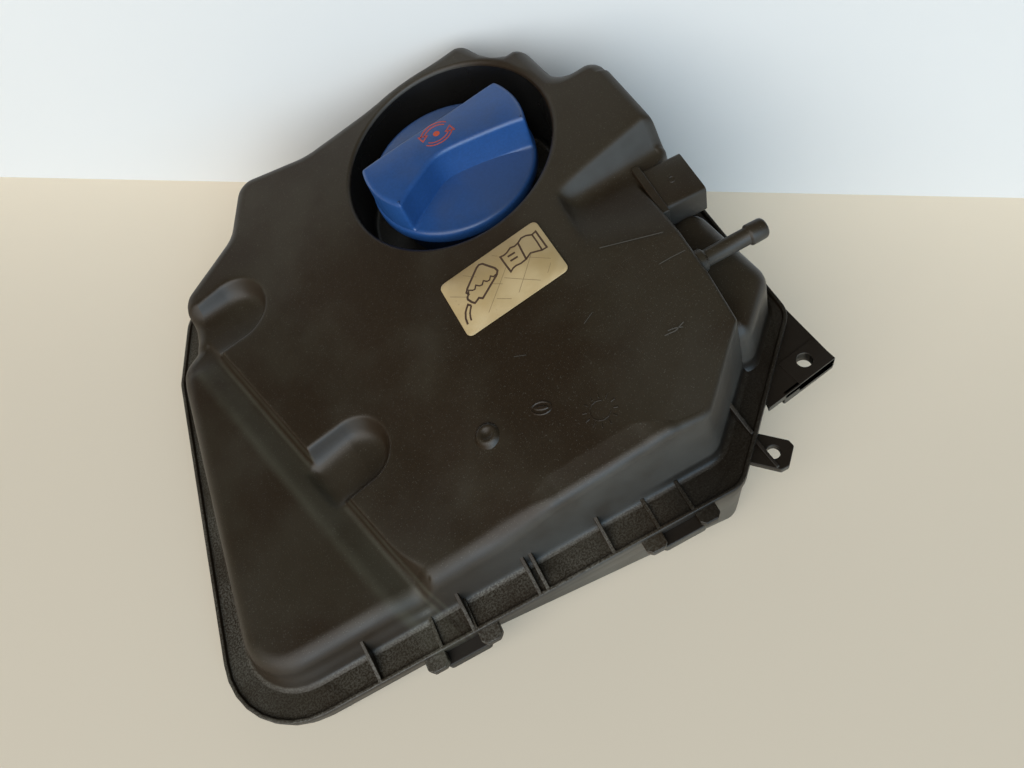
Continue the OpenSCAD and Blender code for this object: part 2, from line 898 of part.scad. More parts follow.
// A coil spring as one swept tube with closed ends
module coil(radius, wire, bottom, height, turns) {
    sides = 6;
    per_turn = 14;
    steps = turns * per_turn;
    rise = (height - 2 * wire) / turns;
    rings = [
        for (k = [0 : steps])
            let (a = 360 * k / per_turn, z = bottom + wire + rise * k / per_turn)
            [for (s = [0 : sides - 1])
                let (b = 360 * (s + 0.5) / sides, r = radius + wire * cos(b))
                [r * cos(a), r * sin(a), z + wire * sin(b)]]
    ];
    skin = [
        for (k = [0 : steps - 1], s = [0 : sides - 1])
            let (t = (s + 1) % sides, b = k * sides, c = b + sides)
            each [[b + s, b + t, c + t], [b + s, c + t, c + s]]
    ];
    first = [for (s = [sides - 1 : -1 : 0]) s];
    last = [for (s = [0 : sides - 1]) steps * sides + s];
    polyhedron(points = [for (ring = rings) each ring], faces = concat([first], skin, [last]));
}

// Pressure valve: seal ring, plate and spring. It opens upwards
seal_t = 1.2;
plate_t = 2;
plate_z = seat_z + seal_t;
plate_top = plate_z + plate_t;
port_r = 3.4;
module pressure_seal() {
    color([0.3, 0.1, 0.08])
        ring(seat_r - 0.6, plate_r - 0.5, seat_z, seal_t);
}

module pressure_plate() {
    color([0.75, 0.72, 0.6])
        ring(port_r, plate_r, plate_z, plate_t);
}

press_spring_r = plate_r - 2.2;
module pressure_spring() {
    color([0.7, 0.7, 0.7])
        coil(press_spring_r, press_wire_r, plate_top + seat_gap, retainer_z - plate_top - 2 * seat_gap, 5);
}

// Vacuum valve: a disc under the plate on a sprung stem. It opens downwards
vac_seal_t = 0.8;
vac_disc_r = seat_r - 2.2;
vac_disc_t = 1.4;
vac_top = plate_z - vac_seal_t;
stem_top = -6;
keeper_t = 1;
module vacuum_stem() {
    color([0.8, 0.68, 0.4]) {
        translate([0, 0, vac_top - vac_disc_t])
            cylinder(r = vac_disc_r, h = vac_disc_t);
        translate([0, 0, vac_top - bite])
            cylinder(r = stem_r, h = stem_top - vac_top + bite);
        translate([0, 0, stem_top - 0.8])
            cylinder(r = stem_r + 0.6, h = 0.8);
    }
}

module vacuum_seal() {
    color([0.3, 0.1, 0.08])
        ring(port_r + 0.3, vac_disc_r - 0.2, vac_top, vac_seal_t);
}

keeper_z = stem_top - 0.8 - keeper_t;
keeper_r = stem_r + 3.6;
module spring_keeper() {
    color([0.7, 0.7, 0.7])
        ring(stem_r + seat_gap, keeper_r, keeper_z, keeper_t);
}

vac_spring_r = port_r + 0.9;
module vacuum_spring() {
    color([0.7, 0.7, 0.7])
        coil(vac_spring_r, vac_wire_r, plate_top + seat_gap, keeper_z - plate_top - 2 * seat_gap, 4);
}

upper_shell();
lower_shell();
level_pin_long();
level_pin_short();
label();
cap_handle();
valve_body();
neck_gasket();
valve_body_o_ring();
spring_retainer();
pressure_spring();
pressure_plate();
pressure_seal();
vacuum_stem();
vacuum_seal();
vacuum_spring();
spring_keeper();
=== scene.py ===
"""Looks of a coolant expansion tank: two welded shells, a screw cap in its well, a label, a sensor socket.

Sizes are in millimetres in the row frame: the filler neck's mouth is the origin and +Z leaves the neck.
"""

from __future__ import annotations

import logging
import math
from dataclasses import dataclass, field
from enum import Enum
from typing import Callable, Sequence

import bmesh
import bpy
import numpy as np
from mathutils import Matrix, Vector
from mathutils.geometry import delaunay_2d_cdt

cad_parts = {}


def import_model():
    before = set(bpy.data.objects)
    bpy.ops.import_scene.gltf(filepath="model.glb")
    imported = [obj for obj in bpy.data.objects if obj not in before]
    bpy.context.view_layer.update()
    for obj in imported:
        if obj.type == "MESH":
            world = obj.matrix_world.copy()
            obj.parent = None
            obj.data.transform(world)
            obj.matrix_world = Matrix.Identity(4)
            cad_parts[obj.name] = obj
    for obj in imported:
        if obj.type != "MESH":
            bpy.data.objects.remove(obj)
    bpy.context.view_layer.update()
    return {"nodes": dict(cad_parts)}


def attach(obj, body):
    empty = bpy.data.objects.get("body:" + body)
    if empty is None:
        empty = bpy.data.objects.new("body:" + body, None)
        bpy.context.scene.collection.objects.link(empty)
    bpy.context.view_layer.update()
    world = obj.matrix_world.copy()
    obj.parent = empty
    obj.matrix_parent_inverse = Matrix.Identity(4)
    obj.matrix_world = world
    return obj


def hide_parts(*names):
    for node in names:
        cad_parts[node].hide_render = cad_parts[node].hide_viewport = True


MM = 0.001
INK_RISE = 0.035  # millimetres that a printed line stands over its ground
LOG = logging.getLogger("tank")
Array = np.ndarray
Object = bpy.types.Object
Material = bpy.types.Material
Socket = bpy.types.NodeSocket


class Body(str, Enum):
    """The bodies of the part that a piece can ride on."""

    TANK = "tank"
    CAP = "cap"
    INSERT = "cap_insert"
    PRESSURE = "pressure_valve"
    VACUUM = "vacuum_valve"


class Slot(str, Enum):
    """Material slots of the record."""

    UPPER = "tank_plastic"
    LOWER = "lower_plastic"
    CAP = "cap_plastic"
    VALVE = "valve_plastic"
    RUBBER = "seal_rubber"
    SPRING = "spring_steel"
    BRASS = "valve_brass"
    PIN = "pin_metal"
    LABEL = "label_film"


# Shaping


def soft_ramp(t: Array, width: float) -> Array:
    """A ramp that is 0 below 0 and t above it, rounded over the width."""
    return 0.5 * (t + np.sqrt(t * t + width * width))


def soft_min(a: Array, b: Array, width: float) -> Array:
    """The lower of two heights, rounded where they meet."""
    return 0.5 * (a + b - np.sqrt((a - b) ** 2 + width * width))


def soft_max(a: Array, b: Array, width: float) -> Array:
    """The higher of two values, rounded where they meet."""
    return 0.5 * (a + b + np.sqrt((a - b) ** 2 + width * width))


def smooth_round(values: Array, reach: int) -> Array:
    """Averages a closed row of values over its neighbours.

    Args:
        values: One value for each point of a closed outline.
        reach: Neighbours taken on each side.

    Returns:
        The averaged row.
    """
    kernel = np.ones(2 * reach + 1) / (2 * reach + 1)
    padded = np.concatenate([values[-reach:], values, values[:reach]])
    return np.convolve(padded, kernel, mode="valid")


def inside(points: Array, loop: Array) -> Array:
    """Tells which points lie inside a closed loop.

    Args:
        points: Points to test, n by 2.
        loop: The loop's corners in order, m by 2.

    Returns:
        One boolean for each point.
    """
    x, y = points[:, 0], points[:, 1]
    result = np.zeros(len(points), bool)
    for a, b in zip(loop, np.roll(loop, -1, axis=0)):
        if a[1] == b[1]:
            continue
        crosses = (a[1] > y) != (b[1] > y)
        result ^= crosses & (x < (b[0] - a[0]) * (y - a[1]) / (b[1] - a[1]) + a[0])
    return result


def distance_to(points: Array, loop: Array) -> Array:
    """Distance from each point to the nearest corner of a dense loop."""
    found = np.full(len(points), 1e9)
    for start in range(0, len(points), 4000):
        part = points[start : start + 4000]
        gaps = np.linalg.norm(part[:, None, :] - loop[None, :, :], axis=2)
        found[start : start + 4000] = gaps.min(axis=1)
    return found


@dataclass(frozen=True)
class Outline:
    """A closed plan outline with rounded corners that can be moved inwards.

    Attributes:
        corners: x, y and radius of each corner, anticlockwise.
        arc_steps: Steps round each corner.
        edge_step: Length of a step along the edges.
    """

    corners: tuple[tuple[float, float, float], ...]
    arc_steps: int = 8
    edge_step: float = 1.6

    def _moved(self, inset: float) -> tuple[Array, Array]:
        """Corner points and radii once the outline has moved inwards."""
        plan = np.array(self.corners, float)
        at, radius = plan[:, :2], plan[:, 2]
        back = at - np.roll(at, 1, axis=0)
        ahead = np.roll(at, -1, axis=0) - at
        back /= np.linalg.norm(back, axis=1)[:, None]
        ahead /= np.linalg.norm(ahead, axis=1)[:, None]
        n1 = np.stack([-back[:, 1], back[:, 0]], axis=1)
        n2 = np.stack([-ahead[:, 1], ahead[:, 0]], axis=1)
        share = 1 + (n1 * n2).sum(axis=1)
        turn = back[:, 0] * ahead[:, 1] - back[:, 1] * ahead[:, 0]
        moved = at + inset * (n1 + n2) / share[:, None]
        rounded = np.where(turn > 0, np.maximum(0.5, radius - inset), radius + inset)
        return moved, np.maximum(rounded, 0.3)

    def _arc(self, before: Array, at: Array, after: Array, radius: float) -> Array:
        """Points of one rounded corner."""
        a, b = before - at, after - at
        la, lb = np.linalg.norm(a), np.linalg.norm(b)
        a, b = a / la, b / lb
        half = math.acos(max(-1.0, min(1.0, float(a @ b)))) / 2
        radius = min(radius, 0.48 * min(la, lb) * math.tan(half))
        middle = (a + b) / np.linalg.norm(a + b)
        centre = at + middle * radius / math.sin(half)
        start = at + a * radius / math.tan(half) - centre
        end = at + b * radius / math.tan(half) - centre
        first = math.atan2(start[1], start[0])
        swing = (math.atan2(end[1], end[0]) - first + 3 * math.pi) % (2 * math.pi) - math.pi
        angles = first + swing * np.linspace(0, 1, self.arc_steps + 1)
        return centre + radius * np.stack([np.cos(angles), np.sin(angles)], axis=1)

    def _arcs(self, inset: float) -> list[Array]:
        """All rounded corners at an inset."""
        at, radius = self._moved(inset)
        count = len(at)
        return [self._arc(at[i - 1], at[i], at[(i + 1) % count], radius[i]) for i in range(count)]

    def ring(self, inset: float = 0.0) -> Array:
        """Points of the outline at an inset, the same number at every inset.

        Args:
            inset: Distance inwards, or outwards if negative.

        Returns:
            The points, n by 2.
        """
        plain, arcs = self._arcs(0.0), self._arcs(inset)
        points: list[Array] = []
        for i, arc in enumerate(arcs):
            j = (i + 1) % len(arcs)
            gap = float(np.linalg.norm(plain[j][0] - plain[i][-1]))
            steps = max(1, round(gap / self.edge_step))
            share = np.linspace(0, 1, steps + 1)[1:-1, None]
            points.append(arc)
            points.append(arc[-1] * (1 - share) + arcs[j][0] * share)
        return np.concatenate(points)

    def rings(self, deepest: float, step: float = 0.25) -> tuple[Array, Array]:
        """The outline at a row of insets, for per-point insets."""
        insets = np.arange(-3.0, deepest + step, step)
        return insets, np.stack([self.ring(float(d)) for d in insets])

    @staticmethod
    def at(table: tuple[Array, Array], inset: Array) -> Array:
        """Points whose inset differs from point to point."""
        insets, rings = table
        place = np.clip((inset - insets[0]) / (insets[1] - insets[0]), 0, len(insets) - 1.001)
        low = place.astype(int)
        share = (place - low)[:, None]
        index = np.arange(rings.shape[1])
        return rings[low, index] * (1 - share) + rings[low + 1, index] * share


def circle(radius: float | Array, count: int = 160, centre: tuple[float, float] = (0, 0)) -> Array:
    """Points round a circle, anticlockwise."""
    angles = np.linspace(0, 2 * math.pi, count, endpoint=False)
    ring = np.stack([np.cos(angles), np.sin(angles)], axis=1)
    return ring * (np.asarray(radius)[..., None] if np.ndim(radius) else radius) + centre


def lift(ring: Array, z: float | Array) -> Array:
    """A plan ring as points in space."""
    return np.column_stack([ring, np.broadcast_to(z, len(ring))])


class Skin:
    """A mesh that grows out of rings, filled plans and turned profiles."""

    def __init__(self) -> None:
        """Starts with nothing."""
        self.points: list[Array] = []
        self.faces: list[tuple[int, ...]] = []
        self.count = 0

    def add(self, points: Array) -> int:
        """Adds points and returns the number of the first."""
        first = self.count
        self.points.append(np.asarray(points, float))
        self.count += len(points)
        return first

    def rings(self, rings: Sequence[Array], flip: bool = False) -> "Skin":
        """Adds a band of quads through rings of equal length.

        Args:
            rings: The rings in order. From the bottom up, anticlockwise rings face outwards.
            flip: Turns the faces round.

        Returns:
            The skin itself.
        """
        n = len(rings[0])
        firsts = [self.add(ring) for ring in rings]
        for a, b in zip(firsts, firsts[1:]):
            for i in range(n):
                j = (i + 1) % n
                quad = (a + i, a + j, b + j, b + i)
                self.faces.append(quad[::-1] if flip else quad)
        return self

    def fill(
        self,
        boundary: Array,
        height: Callable[[Array, Array], Array] | float,
        holes: Sequence[Array] = (),
        inner: Array | None = None,
        down: bool = False,
    ) -> "Skin":
        """Fills a plan with triangles that follow a height.

        Args:
            boundary: The plan's outer ring.
            height: A height, or a function of x and y.
            holes: Rings left open.
            inner: Further points inside.
            down: Turns the faces downwards.

        Returns:
            The skin itself.
        """
        loops = [boundary, *holes]
        edges: list[tuple[int, int]] = []
        start = 0
        for loop in loops:
            n = len(loop)
            edges += [(start + i, start + (i + 1) % n) for i in range(n)]
            start += n
        flat = np.concatenate(loops + ([inner] if inner is not None and len(inner) else []))
        made = delaunay_2d_cdt([Vector(p) for p in flat.tolist()], edges, [], 0, 1e-6)
        points = np.array([tuple(v) for v in made[0]])
        triangles = np.array([f for f in made[2] if len(f) == 3])
        centres = points[triangles].mean(axis=1)
        kept = inside(centres, boundary)
        for hole in holes:
            kept &= ~inside(centres, hole)
        z = height(points[:, 0], points[:, 1]) if callable(height) else height
        first = self.add(lift(points, z))
        for a, b, c in triangles[kept]:
            face = (first + a, first + b, first + c)
            self.faces.append(face[::-1] if down else face)
        return self

    def turned(self, profile: Sequence[tuple[float, float]], count: int = 96) -> "Skin":
        """Adds a profile of radius and height turned round Z, from the inside top outwards."""
        return self.rings([lift(circle(max(r, 1e-4), count), z) for r, z in profile], flip=True)

    def build(
        self, name: str, place: Matrix | None = None, normals: "Normals | None" = None
    ) -> Object:
        """Makes the object.

        Args:
            name: Name of the piece.
            place: Where it goes, in millimetres, if not in the row frame already.
            normals: Own normals for part of the surface.

        Returns:
            The new object, smooth shaded, in metres.
        """
        co = np.concatenate(self.points)
        mesh = bpy.data.meshes.new(name)
        mesh.from_pydata(co.tolist(), [], [tuple(int(i) for i in f) for f in self.faces])
        bm = bmesh.new()
        bm.from_mesh(mesh)
        bmesh.ops.remove_doubles(bm, verts=bm.verts, dist=2e-3)
        loose = [v for v in bm.verts if not v.link_faces]
        bmesh.ops.delete(bm, geom=loose, context="VERTS")
        if place is not None:
            bm.transform(place)
        bm.to_mesh(mesh)
        bm.free()
        own = normals(mesh) if normals else None
        mesh.transform(Matrix.Scale(MM, 4))
        mesh.shade_smooth()
        if own is not None:
            mesh.normals_split_custom_set_from_vertices([tuple(n) for n in own])
        made = bpy.data.objects.new(name, mesh)
        bpy.context.scene.collection.objects.link(made)
        return made


@dataclass
class Normals:
    """Gives the points that lie on a height field the field's own normals."""

    height: Callable[[Array, Array], Array]
    reach: float = 0.12

    def __call__(self, mesh: bpy.types.Mesh) -> Array:
        """Normals of every vertex of a mesh in millimetres."""
        co = np.empty(len(mesh.vertices) * 3)
        mesh.vertices.foreach_get("co", co)
        co = co.reshape(-1, 3)
        normal = np.empty(len(mesh.vertices) * 3)
        mesh.vertex_normals.foreach_get("vector", normal)
        normal = normal.reshape(-1, 3)
        x, y = co[:, 0], co[:, 1]
        on = np.abs(co[:, 2] - self.height(x, y)) < 3e-3
        e = self.reach
        dx = (self.height(x + e, y) - self.height(x - e, y)) / (2 * e)
        dy = (self.height(x, y + e) - self.height(x, y - e)) / (2 * e)
        field_normal = np.stack([-dx, -dy, np.ones_like(dx)], axis=1)
        field_normal /= np.linalg.norm(field_normal, axis=1)[:, None]
        normal[on] = field_normal[on]
        return normal


def scatter(
    height: Callable[[Array, Array], Array],
    low: tuple[float, float],
    high: tuple[float, float],
    base: float = 4.0,
    levels: int = 3,
    bend: float = 0.012,
) -> Array:
    """Points over a plan, closer where a height bends more.

    Args:
        height: The height, a function of x and y.
        low: Least x and y.
        high: Greatest x and y.
        base: Size of the widest cell.
        levels: Times that a cell may be halved.
        bend: Height error that calls for smaller cells.

    Returns:
        The points, n by 2.
    """
    gx, gy = np.meshgrid(np.arange(low[0], high[0], base), np.arange(low[1], high[1], base))
    corner = np.stack([gx.ravel(), gy.ravel()], axis=1)
    size, found = base, []
    for level in range(levels + 1):
        around = [corner + size * np.array(o) for o in ((0, 0), (1, 0), (0, 1), (1, 1), (0.5, 0.5))]
        found += around[:4]
        if level == levels:
            break
        z = [height(p[:, 0], p[:, 1]) for p in around]
        error = np.abs(z[4] - (z[0] + z[1] + z[2] + z[3]) / 4)
        error = np.maximum(error, np.abs(z[0] + z[3] - z[1] - z[2]) / 8)
        rough = corner[error > bend]
        size /= 2
        corner = np.concatenate([rough + size * np.array(o) for o in ((0, 0), (1, 0), (0, 1), (1, 1))])
    return np.unique(np.round(np.concatenate(found), 4), axis=0)


def prism(
    plan: Sequence[tuple[float, float]],
    low: float,
    high: float,
    name: str,
    place: Matrix | None = None,
    edge: float = 0.4,
    holes: Sequence[Array] = (),
) -> Object:
    """A plate of any plan with softened edges.

    Args:
        plan: Its corners, anticlockwise.
        low: Height of its underside.
        high: Height of its top.
        name: Name of the piece.
        place: Where it goes.
        edge: Width of the softened edge.
        holes: Round holes through it.

    Returns:
        The new object.
    """
    skin = Skin()
    loop = np.array(plan, float)
    skin.fill(loop, high, holes)
    skin.fill(loop, low, holes, down=True)
    skin.rings([lift(loop, low), lift(loop, high)])
    for hole in holes:
        skin.rings([lift(hole, low), lift(hole, high)], flip=True)
    made = skin.build(name, place)
    bm = bmesh.new()
    bm.from_mesh(made.data)
    flat = [
        e
        for e in bm.edges
        if len(e.link_faces) == 2 and e.link_faces[0].normal.angle(e.link_faces[1].normal, 0) < 0.02
    ]
    bmesh.ops.dissolve_edges(bm, edges=flat, use_verts=False)
    bm.to_mesh(made.data)
    bm.free()
    soften(made, edge)
    return made


def soften(made: Object, edge: float, segments: int = 2, angle: float = 30) -> None:
    """Rounds the sharp edges of an object and fixes the result in its mesh.

    Args:
        made: The object.
        edge: Width of the rounding, in millimetres.
        segments: Steps of the rounding.
        angle: Least angle of an edge that is rounded, in degrees.
    """
    bevel = made.modifiers.new("edge", "BEVEL")
    bevel.width = edge * MM
    bevel.segments = segments
    bevel.limit_method = "ANGLE"
    bevel.angle_limit = math.radians(angle)
    bevel.harden_normals = True
    bake(made)


def bake(made: Object) -> None:
    """Fixes an object's modifiers in its mesh."""
    graph = bpy.context.evaluated_depsgraph_get()
    graph.update()
    final = bpy.data.meshes.new_from_object(made.evaluated_get(graph))
    made.modifiers.clear()
    made.data = final


def joined(name: str, parts: Sequence[Object]) -> Object:
    """One object out of several."""
    with bpy.context.temp_override(
        active_object=parts[0], selected_editable_objects=list(parts), object=parts[0]
    ):
        bpy.ops.object.join()
    parts[0].name = name
    parts[0].data.name = name
    return parts[0]


def spin(degrees: float, axis: str) -> Matrix:
    """A turn about an axis of the row frame."""
    return Matrix.Rotation(math.radians(degrees), 4, axis)


def turn_z(degrees: float, at: Sequence[float]) -> Matrix:
    """A place turned about Z."""
    return Matrix.Translation(Vector(at)) @ spin(degrees, "Z")


def upright(place: Matrix) -> Matrix:
    """A place in which a plan's x runs along Y, its y along Z and its height along X."""
    return place @ spin(90, "Z") @ spin(90, "X")


# Finishes


class Nodes:
    """A thin hand on a material's node tree."""

    def __init__(self, name: str) -> None:
        """Makes an empty material with its surface shader."""
        self.material = bpy.data.materials.new(name)
        self.material.use_nodes = True
        self.tree = self.material.node_tree
        self.shader = self.tree.nodes["Principled BSDF"]
        self.place = self.add("ShaderNodeTexCoord").outputs["Object"]

    def add(self, kind: str, **values: object) -> bpy.types.Node:
        """Adds a node and sets its own values or its inputs by name."""
        node = self.tree.nodes.new(kind)
        for key, value in values.items():
            if hasattr(node, key):
                setattr(node, key, value)
            else:
                node.inputs[key.replace("_", " ").title()].default_value = value
        return node

    def link(self, source: Socket, target: Socket) -> None:
        """Joins two sockets."""
        self.tree.links.new(source, target)

    def noise(self, scale: float, detail: float = 3.0, rough: float = 0.55) -> Socket:
        """A noise over the object's own space, scale in cycles per metre."""
        node = self.add("ShaderNodeTexNoise", scale=scale, detail=detail, roughness=rough)
        self.link(self.place, node.inputs["Vector"])
        return node.outputs["Fac"]

    def ramp(
        self, source: Socket, low: float, high: float, start: float = 0, end: float = 1
    ) -> Socket:
        """Maps a value between two limits onto another range."""
        node = self.add("ShaderNodeMapRange", interpolation_type="SMOOTHSTEP")
        for key, value in zip(("From Min", "From Max", "To Min", "To Max"), (low, high, start, end)):
            node.inputs[key].default_value = value
        self.link(source, node.inputs["Value"])
        return node.outputs["Result"]

    def maths(
        self, kind: str, a: Socket, b: Socket | float
    ) -> Socket:
        """A sum, product or the like of two values."""
        node = self.add("ShaderNodeMath", operation=kind)
        self.link(a, node.inputs[0])
        if isinstance(b, Socket):
            self.link(b, node.inputs[1])
        else:
            node.inputs[1].default_value = b
        return node.outputs[0]

    def times(self, *factors: Socket | float) -> Socket:
        """The product of several values, the first of them a socket."""
        product = factors[0]
        for factor in factors[1:]:
            product = self.maths("MULTIPLY", product, factor)
        return product

    def parts(self, vector: Socket) -> dict[str, Socket]:
        """A vector's three parts by their letter."""
        node = self.add("ShaderNodeSeparateXYZ")
        self.link(vector, node.inputs[0])
        return {axis: node.outputs[axis] for axis in "XYZ"}

    def blend(
        self,
        share: Socket,
        a: Socket | Sequence[float],
        b: Socket | Sequence[float],
    ) -> Socket:
        """Mixes two colours."""
        node = self.add("ShaderNodeMix", data_type="RGBA")
        self.link(share, node.inputs["Factor"])
        for socket, value in ((node.inputs[6], a), (node.inputs[7], b)):
            if isinstance(value, Socket):
                self.link(value, socket)
            else:
                socket.default_value = (*value, 1)
        return node.outputs[2]

    def bump(self, height: Socket, depth: float) -> None:
        """Raises the surface by a height of this depth in metres."""
        node = self.add("ShaderNodeBump", strength=1.0, distance=depth)
        self.link(height, node.inputs["Height"])
        self.link(node.outputs["Normal"], self.shader.inputs["Normal"])


@dataclass(frozen=True)
class MouldedPlastic:
    """Moulded plastic with eroded grain, cloudy tone and dust in its low places, and where set painted
    sheen, painted shade and painted highlight stripes.

    Attributes:
        name: Name of the finish.
        tone: Its colour.
        cloud: Colour of the paler clouds.
        rough: Roughness.
        grain: Depth of the grain, in metres.
        dust: Share of dust.
        dust_below: Height under which dust gathers, in metres.
        dust_tone: Colour of the dust.
        dust_fades_to_shade: x at which the dust is whole and x at which it has faded, in metres; the thinner
            dust also paints shade at the channel's right end.
        haze_and_painted_shade: Share of the pale film on upward faces; on the cap it is partly weathering
            and partly painted shade that dulls the top.
        haze_and_painted_light_tone: Colour of that film, also of the pale stripes along the groove.
        near_side_sheen: Share of the painted grey sheen on the faces of the long near side.
        near_sheen_tone: Colour of the painted sheen.
        near_sheen_grows: x at which the painted sheen is thin and x at which it is whole, in metres.
        specular: Strength of the reflection.
        highlight_and_residue_stripes: Pale stripes along the groove, painted highlights on its lines and
            residue in its band: start, end and softness in metres from the ridge, share.
        stripe_stops: y at which the stripes begin to fade and y at which they are whole, in metres.
        dimple_y: y of the near dimple's middle, in metres.
        dimple_clear: Distance from it where stripes beside the ridge start and are whole, in metres.
        ridge_stripes: Stripes that end beyond this distance from the ridge stop at that dimple.
        channel_shade: Darker tone of the right end of the channel: painted shade, partly a darker ground.
        channel_shade_grows: x at which that tone starts and x at which it is whole, in metres.
    """

    name: str
    tone: tuple[float, float, float]
    cloud: tuple[float, float, float]
    rough: float = 0.5
    grain: float = 0.00003
    dust: float = 0.0
    dust_below: float = -0.016
    dust_tone: tuple[float, float, float] = (0.2, 0.18, 0.145)
    dust_fades_to_shade: tuple[float, float] | None = None
    haze_and_painted_shade: float = 0.0
    haze_and_painted_light_tone: tuple[float, float, float] = (0.1, 0.095, 0.08)
    near_side_sheen: float = 0.0
    near_sheen_tone: tuple[float, float, float] = (0.058, 0.057, 0.052)
    near_sheen_grows: tuple[float, float] = (-0.105, -0.045)
    specular: float = 0.5
    highlight_and_residue_stripes: tuple[tuple[float, float, float, float], ...] = ()
    stripe_stops: tuple[float, float] = (0.003, -0.004)
    dimple_y: float = -0.0782
    dimple_clear: tuple[float, float] = (0.0106, 0.0116)
    ridge_stripes: float = -0.002
    channel_shade: tuple[float, float, float] | None = None
    channel_shade_grows: tuple[float, float] = (-0.03, -0.008)

    def material(self) -> Material:
        """Makes the material."""
        n = Nodes(self.name)
        clouds = n.ramp(n.noise(14, 4, 0.6), 0.38, 0.66)
        fine = n.ramp(n.noise(900, 2, 0.7), 0.3, 0.7)
        tone = n.blend(n.times(clouds, 0.55), self.tone, self.cloud)
        tone = n.blend(n.times(fine, 0.35), tone, tuple(c * 1.5 for c in self.tone))
        normal = n.parts(n.add("ShaderNodeNewGeometry").outputs["Normal"])
        spot = n.parts(n.place)
        up = n.ramp(normal["Z"], 0.55, 0.9)
        # Pale film on upward faces: dust on the tank; on the cap partly weathering, partly painted shade.
        if self.haze_and_painted_shade > 0:
            patch = n.ramp(n.noise(24, 3, 0.55), 0.4, 0.62, 0.12, 1)
            tone = n.blend(n.times(up, patch, self.haze_and_painted_shade), tone, self.haze_and_painted_light_tone)
        # Painted sheen: faces that look towards the near side are paled as if they reflected light.
        if self.near_side_sheen > 0:
            tone = self.paint_near_sheen(n, tone, normal, spot)
        # Painted shade in the low places at the channel's right end, partly a darker ground.
        if self.channel_shade:
            right = n.ramp(spot["X"], *self.channel_shade_grows, 0, 0.8)
            tone = n.blend(n.times(self.low_places(n, spot), right), tone, self.channel_shade)
        # Pale stripes: painted highlights on the groove's crest, fillet and ridge, and residue in its band.
        for stripe in self.highlight_and_residue_stripes:
            tone = self.stripe(n, tone, spot, stripe)
        if self.dust > 0:
            tone = self.dusting(n, tone, up, spot)
        n.link(tone, n.shader.inputs["Base Color"])
        n.link(n.ramp(clouds, 0, 1, self.rough - 0.05, self.rough + 0.08), n.shader.inputs["Roughness"])
        n.shader.inputs["Specular IOR Level"].default_value = self.specular
        n.bump(n.noise(2200, 2, 0.7), self.grain)
        return n.material

    def low_places(self, n: Nodes, spot: dict[str, Socket]) -> Socket:
        """Share that is whole below the height where dust gathers."""
        return n.ramp(spot["Z"], self.dust_below + 0.002, self.dust_below - 0.001)

    def paint_near_sheen(
        self, n: Nodes, tone: Socket, normal: dict[str, Socket], spot: dict[str, Socket]
    ) -> Socket:
        """Paints a grey sheen on the faces of the long near side, as if they reflected light.

        Args:
            n: The material's nodes.
            tone: The colour so far.
            normal: The surface's direction.
            spot: The place on the surface.

        Returns:
            The colour with the painted sheen.
        """
        side = n.ramp(normal["Y"], -0.5, -0.88)
        patch = n.ramp(n.noise(36, 3, 0.6), 0.3, 0.65, 0.5, 1)
        side = n.times(side, n.ramp(spot["X"], *self.near_sheen_grows, 0.25, 1))
        return n.blend(n.times(side, patch, self.near_side_sheen), tone, self.near_sheen_tone)

    def stripe(
        self, n: Nodes, tone: Socket, spot: dict[str, Socket], values: tuple[float, float, float, float]
    ) -> Socket:
        """Lays one pale stripe along the groove. Most stripes are painted highlights on its lines, one is
        residue in its band.

        Args:
            n: The material's nodes.
            tone: The colour so far.
            spot: The place on the surface.
            values: Start, end, softness and share of the stripe.

        Returns:
            The colour with the stripe.
        """
        start, end, soft, strength = values
        away = n.maths("ADD", spot["X"], n.times(spot["Y"], -TOP.ridge[1]))
        away = n.maths("SUBTRACT", away, TOP.ridge[0] * MM)
        share = n.times(n.ramp(away, start - soft, start + soft), n.ramp(away, end + soft, end - soft))
        uneven = n.ramp(n.noise(60, 3, 0.6), 0.3, 0.6, 0.45, 1)
        share = n.times(share, n.ramp(spot["Y"], *self.stripe_stops))
        if end > self.ridge_stripes:
            off = n.maths("ABSOLUTE", n.maths("SUBTRACT", spot["Y"], self.dimple_y), 0)
            share = n.times(share, n.ramp(off, *self.dimple_clear))
        return n.blend(n.times(share, uneven, strength), tone, self.haze_and_painted_light_tone)

    def dusting(self, n: Nodes, tone: Socket, up: Socket, spot: dict[str, Socket]) -> Socket:
        """Lays dust in the low places and fine specks on every upward face.

        Args:
            n: The material's nodes.
            tone: The colour so far.
            up: Share that is whole on upward faces.
            spot: The place on the surface.

        Returns:
            The colour with the dust.
        """
        speck = n.ramp(n.noise(1500, 3, 0.8), 0.42, 0.6)
        patch = n.ramp(n.noise(45, 3, 0.6), 0.3, 0.7, 0.35, 1)
        share = n.times(up, self.low_places(n, spot), n.times(speck, patch))
        # Less dust towards the right, which also paints shade at the channel's right end.
        if self.dust_fades_to_shade:
            share = n.times(share, n.ramp(spot["X"], *self.dust_fades_to_shade, 1.0, 0.15))
        film = n.times(n.ramp(n.noise(2400, 1, 0.5), 0.66, 0.72), 0.3)
        share = n.maths("MAXIMUM", n.times(share, self.dust), n.times(up, film))
        return n.blend(share, tone, self.dust_tone)


